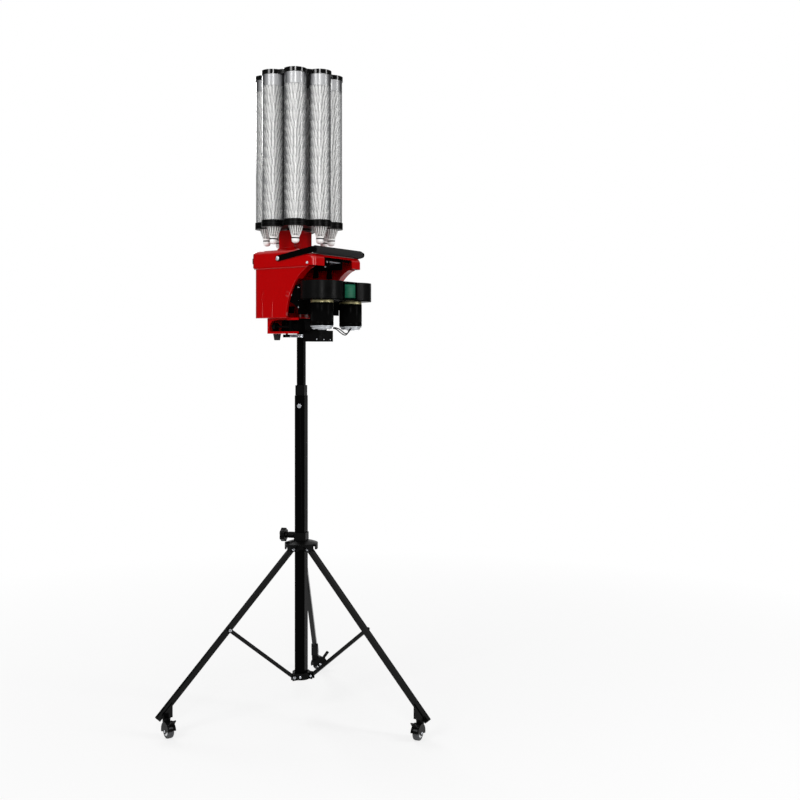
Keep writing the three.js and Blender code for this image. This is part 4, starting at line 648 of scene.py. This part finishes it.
dress("throw_frame", "throwing_unit", powder_coat, 0.6, 2)
motor_reach, motor_front = 82, -153
for side_name, side_x in (("left", -1), ("right", 1)):
    middle = at(motor_reach * side_x, motor_front, 0)
    can = turned(f"motor_{side_name}_can", [
        (36, 1349), (38.6, 1349.6), (39.5, 1351), (39.5, 1362), (38.9, 1362.6), (38.9, 1364),
        (39.5, 1364.6), (39.5, 1424), (38.6, 1425.6), (36, 1426)], middle, sides=64)
    seat(can, "throwing_unit", powder_coat, smooth=50)
    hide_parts(f"motor_{side_name}")
    flange_ring = turned(f"motor_{side_name}_ring", [
        (38, 1426), (39.2, 1426.6), (39.2, 1428.8), (37.6, 1429.6), (37.6, 1430.8), (39.2, 1431.4),
        (39.2, 1433), (37, 1433.6)], middle, sides=64)
    seat(flange_ring, "throwing_unit", brass, smooth=50)
    end_cap = turned(f"motor_{side_name}_end_cap", [
        (37, 1349.2), (38.2, 1348.6), (38.2, 1345.6), (36.8, 1344.4), (33.6, 1344.2), (33.6, 1340),
        (32.4, 1338.2), (14, 1337.4), (14, 1335.6), (12.6, 1335)], middle, sides=64)
    seat(end_cap, "throwing_unit", cast_aluminium, smooth=50)
    for turn_step in range(4):
        angle = math.radians(45 + 90 * turn_step)
        screw(f"motor_{side_name}_screw_{turn_step + 1}",
              (motor_reach * side_x + 26 * math.cos(angle), motor_front + 26 * math.sin(angle), 1338),
              (0, 0, -1), 2.8, 1.8, "throwing_unit")
    wheel = dress(f"launch_wheel_{side_name}", f"wheel_{side_name}", green_tread, 1.0, 2)
    second_finish(wheel, cast_aluminium, lambda spot, normal: (
        math.hypot(spot.x - middle.x, spot.y - middle.y) < 0.052 or spot.z < 1.443))
    dress(f"wheel_shroud_{side_name}", "throwing_unit", black_abs, 1.8, 3)
    boss = turned(f"shroud_boss_{side_name}", [
        (24, 1497.8), (24, 1499), (22.6, 1500), (12.5, 1500), (12.5, 1501.4), (11, 1501.6)],
        middle, sides=48)
    seat(boss, "throwing_unit", cast_aluminium, smooth=50)
    cheek_bolts = ((-79, 1478, 2.6), (-47, 1455, 7), (-80, 1436, 2.6), (-80, 1411, 2.6))
    for number, (y, z, radius) in enumerate(cheek_bolts, 1):
        screw(f"cheek_bolt_{side_name}_{number}", (116 * side_x, y, z), (side_x, 0, 0), radius,
              radius * 0.6, "throwing_unit")

# Feeder. A black folded channel hangs under the drop hole, with two guide arms below it. A
# bright steel claw turns in it and sets each shuttle between the wheels.
dress("feeder_channel", "head", powder_coat, 0.6, 2)
dress("feeder_claw", "claw", zinc, 0.6, 2)
for number, side_x in enumerate((-1, 1), 1):
    arm = slab(f"feeder_arm_{number}", (38 * side_x - 2, -102, 1513), (38 * side_x + 2, -86, 1543.4))
    pick_faces(arm, lambda middle, normal: normal.z < -0.9)
    bpy.ops.transform.resize(value=(1, 1.5, 1))
    bpy.ops.mesh.inset(thickness=0.001)
    bpy.ops.object.mode_set(mode="OBJECT")
    seat(arm, "head", powder_coat, 0.6, 2)
    screw(f"feeder_pivot_{number}", (39 * side_x, -142, 1567), (side_x, 0, 0), 4.6, 2.6, "head")
    screw(f"feeder_screw_{number}", (39 * side_x, -136, 1550), (side_x, 0, 0), 3, 1.8, "head")

# Carousel. Eight clear tubes stand in a scalloped black flange and are capped by a scalloped
# black ring. Flange and ring are injection-moulded ABS; the tubes are extruded polycarbonate,
# pushed into their seats. Round each mouth, where the empty tube shows only shade, the wall is
# drawn dark grey with a lighter middle: painted shade and a painted highlight.
tube_circle, first_tube_turn, post_back = 113, -147.7, 10
tube_turns = [math.radians(45 * k + first_tube_turn) for k in range(8)]
tube_middles = [
    (tube_circle * math.cos(turn), post_back + tube_circle * math.sin(turn)) for turn in tube_turns]


def scalloped_plate(name, foot, top, bore, web=tube_circle):
    """A plate with one round lobe round each tube, bored through at each."""
    height = top - foot
    plate = turned(name, [(web, 0), (web, height)], at(0, post_back, foot), sides=96)
    for x, y in tube_middles:
        cut_or_join(plate, turned("lobe", [(40.5, 0), (40.5, height)], at(x, y, foot), sides=72), "UNION")
    for x, y in tube_middles:
        cut_or_join(plate, turned("bore", [(bore, -2), (bore, height + 2)], at(x, y, foot), sides=72),
                    "DIFFERENCE")
    return plate


def tube_wall(name, colour, coat_roughness, cover_range, painted_light_places, painted_light_tones):
    """Glossy plastic that hides more where its wall is seen edge on. It is painted lighter where it faces
    the eye and darker edge on: a painted highlight and painted shade.
    """
    material, tree, shader = start_finish(
        name, colour, 0.3, IOR=1.58, Specular_IOR_Level=1.0, Coat_Weight=1.0, Coat_Roughness=coat_roughness)
    edge = add_node(tree, "ShaderNodeLayerWeight", {"Blend": 0.4})
    cover = add_node(tree, "ShaderNodeMapRange", {"Value": edge.outputs["Facing"], **cover_range})
    tree.links.new(cover.outputs[0], shader.inputs["Alpha"])
    # Painted highlight and shade: the base colour runs from light where the wall faces the eye to dark
    # where it is seen edge on.
    painted_light_ramp = add_node(tree, "ShaderNodeValToRGB", {"Fac": edge.outputs["Facing"]})
    for stop, position, tone in zip(painted_light_ramp.color_ramp.elements, painted_light_places, painted_light_tones):
        stop.position, stop.color = position, linear(tone)
    tree.links.new(painted_light_ramp.outputs[0], shader.inputs["Base Color"])
    return material


# Clear polycarbonate: glossy, drawn near white where the wall faces the eye and grey where it is seen edge
# on. This is a painted highlight down each tube's middle and painted shade at its sides.
clear_tube = tube_wall(
    "clear extruded polycarbonate", "#8f9294", 0.2,
    {"From Min": 0.1, "From Max": 0.95, "To Min": 0.2, "To Max": 0.66}, (0.06, 0.5), ("#f2f3f3", "#515355"))
# The mouth of a tube: a glossy, nearly closed dark grey wall. This is painted shade for the shade seen
# through the empty tube, and it is lighter where it faces the eye as a painted highlight.
mouth_painted_shade = tube_wall(
    "tube mouth with painted shade and highlight", "#55575a", 0.22, {"To Min": 0.7, "To Max": 0.9},
    (0.02, 0.4), ("#c9cacc", "#3c3d40"))
# Polished black ABS: the mirror-polished mould leaves small sharp highlights.
gloss_black, tree, shader = start_finish("polished black ABS", "#040404", 0.13, Specular_IOR_Level=0.6)
wandering_shine(tree, shader, object_grain(tree, 30, 2.0), 0.09, 0.18)

base_plate = scalloped_plate("carousel_base_plate", 1688, 1699, 26.8)
for name, profile in (("hub_disc", [(44, 1683.3), (44, 1690)]), ("post", [(9, 1690), (9, 2211)]),
                      ("drive_shaft", [(12, 1640), (12, 1690)])):
    cut_or_join(base_plate, turned(name, profile, at(0, post_back, 0), sides=48), "UNION")
seat(base_plate, "carousel", black_abs, 1.0, 2)
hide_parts("carousel_base")

flange = scalloped_plate("carousel_flange", 1699.4, 1710.7, 36.6)
seat(flange, "carousel", black_abs, 1.2, 3)
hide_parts("carousel_tubes")

ring = scalloped_plate("carousel_top_ring", 2206, 2221, 35, 127)
seat(ring, "carousel", gloss_black, 2.0, 3)
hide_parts("carousel_ring")

for number, (x, y) in enumerate(tube_middles, 1):
    deselect()
    bpy.ops.mesh.primitive_cylinder_add(vertices=64, radius=0.038, depth=0.506, end_fill_type="NOTHING",
                                        location=at(x, y, 1953.2))
    tube = bpy.context.object
    tube.name = f"clear_tube_{number}"
    bpy.ops.object.mode_set(mode="EDIT")
    bpy.ops.mesh.select_all(action="SELECT")
    bpy.ops.mesh.bisect(plane_co=at(x, y, 2168), plane_no=(0, 0, 1))
    bpy.ops.object.mode_set(mode="OBJECT")
    apply_modifier(tube, "SOLIDIFY", thickness=0.0012, offset=-1)
    tube.data.materials.append(clear_tube)
    # The top of each tube, above 2168 mm, gets the dark mouth finish: painted shade.
    second_finish(tube, mouth_painted_shade, lambda middle, normal: middle.z > 0.215)
    seat(tube, "carousel", clear_tube, smooth=40)

# Shuttles. Goose-feather shuttlecocks stand nose down and nested in each tube: sixteen white
# quills set in a round cork, bound by two threads, with a black ribbon glued round the cork.
# White goose feather: matt and slightly translucent, with barbs 1 mm apart drawn at 2 mm.
feather, tree, shader = start_finish("white goose feather", "#f1f0ec", 0.65)
vane_map = add_node(tree, "ShaderNodeTexCoord")
tilt = add_node(tree, "ShaderNodeMapping", {"Vector": vane_map.outputs["UV"], "Scale": (6, 26, 1),
                                           "Rotation": (0, 0, 0.5)})
barbs = add_node(tree, "ShaderNodeTexNoise", {"Vector": tilt.outputs[0], "Scale": 1.0, "Detail": 2.0})
blade = add_node(tree, "ShaderNodeSeparateXYZ", {"Vector": vane_map.outputs["UV"]})
# Painted shade: the vane darkens towards its two edges, for the dark gaps between the vanes.
from_quill = add_node(tree, "ShaderNodeMath", {0: blade.outputs["X"], 1: 0.5}, operation="SUBTRACT")
aside = add_node(tree, "ShaderNodeMath", {0: from_quill.outputs[0]}, operation="ABSOLUTE")
vane_gap_shade = add_node(tree, "ShaderNodeMapRange", {
    "Value": aside.outputs[0], "From Min": 0.16, "From Max": 0.44, "To Min": 1.0, "To Max": 0.0})
# Painted shade: the vane darkens towards the quill, where it lies nested inside the shuttle below.
nested_vane_shade = add_node(tree, "ShaderNodeMapRange", {
    "Value": blade.outputs["Y"], "From Min": 0.4, "From Max": 0.85, "To Min": 0.55, "To Max": 1.0})
streak = add_node(tree, "ShaderNodeMapRange", {
    "Value": barbs.outputs["Fac"], "From Min": 0.35, "From Max": 0.55, "To Min": 0.45, "To Max": 1.0})
# The feather's whiteness is the two painted shades times the barb streaks; the streaks are the barbs' own
# pattern.
white = add_node(tree, "ShaderNodeMath", {0: vane_gap_shade.outputs[0], 1: nested_vane_shade.outputs[0]}, operation="MULTIPLY")
white = add_node(tree, "ShaderNodeMath", {0: white.outputs[0], 1: streak.outputs[0]}, operation="MULTIPLY")
barb_and_shade_tone = add_node(tree, "ShaderNodeValToRGB", {"Fac": white.outputs[0]})
for stop, position, tone in zip(barb_and_shade_tone.color_ramp.elements, (0.05, 0.62), ("#2c2c2e", "#f8f7f4")):
    stop.position, stop.color = position, linear(tone)
tree.links.new(barb_and_shade_tone.outputs[0], shader.inputs["Base Color"])
add_relief(tree, shader, barbs.outputs["Fac"], 0.3)
# Glued white kid leather over cork: smooth, satin, faintly dimpled.
cork_cover, tree, shader = start_finish("white kid leather over cork", "#fafaf8", 0.5)
add_relief(tree, shader, object_grain(tree, 2.5, 2.0).outputs["Fac"], 0.12)
# Black ribbon: dull dyed fabric tape.
ribbon, tree, shader = start_finish("black ribbon tape", "#101010", 0.75)
add_relief(tree, shader, object_grain(tree, 1.5, 1.0).outputs["Fac"], 0.2)


def shape_row(piece, low, high, **moves):
    """Moves or resizes the row of points between two places along the quill."""
    pick(piece)
    bpy.ops.object.mode_set(mode="EDIT")
    bpy.ops.mesh.select_mode(type="VERT")
    bpy.ops.mesh.select_all(action="DESELECT")
    bpy.ops.object.mode_set(mode="OBJECT")
    for point in piece.data.vertices:
        point.select = low <= point.co.y * 1000 <= high
    bpy.ops.object.mode_set(mode="EDIT")
    for name, value in moves.items():
        getattr(bpy.ops.transform, name)(value=value)
    bpy.ops.object.mode_set(mode="OBJECT")


def around_axis(piece, count):
    """Repeats the whole mesh round the Z axis."""
    pick(piece)
    bpy.ops.object.transform_apply(location=True, rotation=True, scale=True)
    bpy.ops.object.mode_set(mode="EDIT")
    bpy.ops.mesh.select_all(action="SELECT")
    bpy.ops.mesh.spin(steps=count - 1, dupli=True, angle=math.tau * (count - 1) / count,
                      center=(0, 0, 0), axis=(0, 0, 1))
    bpy.ops.object.mode_set(mode="OBJECT")


def joined(name, *parts):
    deselect()
    for part in parts:
        part.select_set(True)
    bpy.context.view_layer.objects.active = parts[0]
    bpy.ops.object.join()
    parts[0].name = name
    return parts[0]


# One vane: a creased blade 62 mm long, rounded at the tip and narrow where it meets the quill.
deselect()
bpy.ops.mesh.primitive_grid_add(x_subdivisions=2, y_subdivisions=5, size=1, calc_uvs=True)
vane = bpy.context.object
bpy.ops.transform.resize(value=(0.0128, 0.062, 1))
bpy.ops.object.transform_apply(scale=True)
for low, high, width in ((-32, -30, 0.2), (-19, -18, 0.75), (-7, -6, 0.95), (18, 19, 1.0), (30, 32, 0.42)):
    shape_row(vane, low, high, resize=(width, 1, 1))
pick(vane)
for point in vane.data.vertices:
    if abs(point.co.x) > 0.001:
        point.co.z = -0.0012
        point.co.y -= 0.002
apply_modifier(vane, "SOLIDIFY", thickness=0.0003, offset=0)
vane.data.materials.append(feather)
# One quill: a square ivory shaft tapering to the tip.
deselect()
bpy.ops.mesh.primitive_cube_add(size=1, location=(0, -0.006, 0.0004))
quill = bpy.context.object
bpy.ops.transform.resize(value=(0.0019, 0.074, 0.0017))
bpy.ops.object.transform_apply(scale=True)
shape_row(quill, 20, 40, resize=(0.4, 1, 0.4))
quill.data.materials.append(cork_cover)
feathers = 16
one_feather = joined("one_feather", vane, quill)
rim_radius, rim_height, root_radius, root_height = 32.6, 84, 11.6, 23
slope = math.atan2(rim_radius - root_radius, rim_height - root_height)
pick(one_feather)
one_feather.rotation_euler = (0, math.radians(17), 0)
bpy.ops.object.transform_apply(rotation=True)
one_feather.rotation_euler = (math.pi / 2 + slope, 0, 0)
one_feather.location = (0, -0.0232, 0.0553)
around_axis(one_feather, feathers)
skirt = one_feather
skirt.name = "shuttle_skirt"

origin = Vector((0, 0, 0))
nose = turned("shuttle_nose", [
    (3.5, 0), (7.5, 1.1), (10.4, 3.4), (12.3, 7), (13, 11.5), (13, 24.4), (12.2, 25.2), (9, 25.6)],
    origin, sides=28)
nose.data.materials.append(cork_cover)
tape = turned("shuttle_tape", [(13.1, 15.6), (13.35, 16), (13.35, 19.6), (13.1, 20)], origin, sides=28)
tape.data.materials.append(ribbon)
threads = []
for height, radius in ((35, 16.4), (43, 19.2)):
    deselect()
    bpy.ops.mesh.primitive_torus_add(major_segments=32, minor_segments=4, major_radius=radius / 1000,
                                     minor_radius=0.0007, location=(0, 0, height / 1000))
    thread = bpy.context.object
    bpy.ops.object.transform_apply(location=True)
    thread.data.materials.append(cork_cover)
    threads.append(thread)
nose = joined("shuttle_nose", nose, tape, *threads)

# Each stack has sixteen shuttles, nested 30.5 mm apart, a little loose and turned each its own way.
# Only the lowest and the highest show their noses.
stacked, nest_spacing, lowest_nose, looseness, lean = 16, 30.5, 1630, 4, 0.03
for number, (x, y) in enumerate(tube_middles, 1):
    copies = []
    for level in range(stacked):
        at_an_end = level in (0, stacked - 1)
        shift = 0 if at_an_end else looseness * math.sin(1.9 * level + 2.1 * number)
        for pattern in (skirt, nose) if at_an_end else (skirt,):
            copy = bpy.data.objects.new("nested", pattern.data.copy())
            bpy.context.scene.collection.objects.link(copy)
            copy.location = at(x, y, lowest_nose + nest_spacing * level + shift)
            copy.rotation_euler = (lean * math.sin(2.3 * level + number),
                                   lean * math.cos(1.7 * level + 2 * number),
                                   0.19 * level * level + number)
            copies.append(copy)
    deselect()
    for copy in copies:
        copy.select_set(True)
    bpy.context.view_layer.objects.active = copies[0]
    bpy.ops.object.transform_apply(location=True, rotation=True)
    stack = joined(f"shuttle_stack_{number}_feathers", *copies)
    seat(stack, "carousel", feather, smooth=40)
    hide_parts(f"shuttle_stack_{number}")
for pattern in (skirt, nose):
    bpy.data.objects.remove(pattern, do_unlink=True)
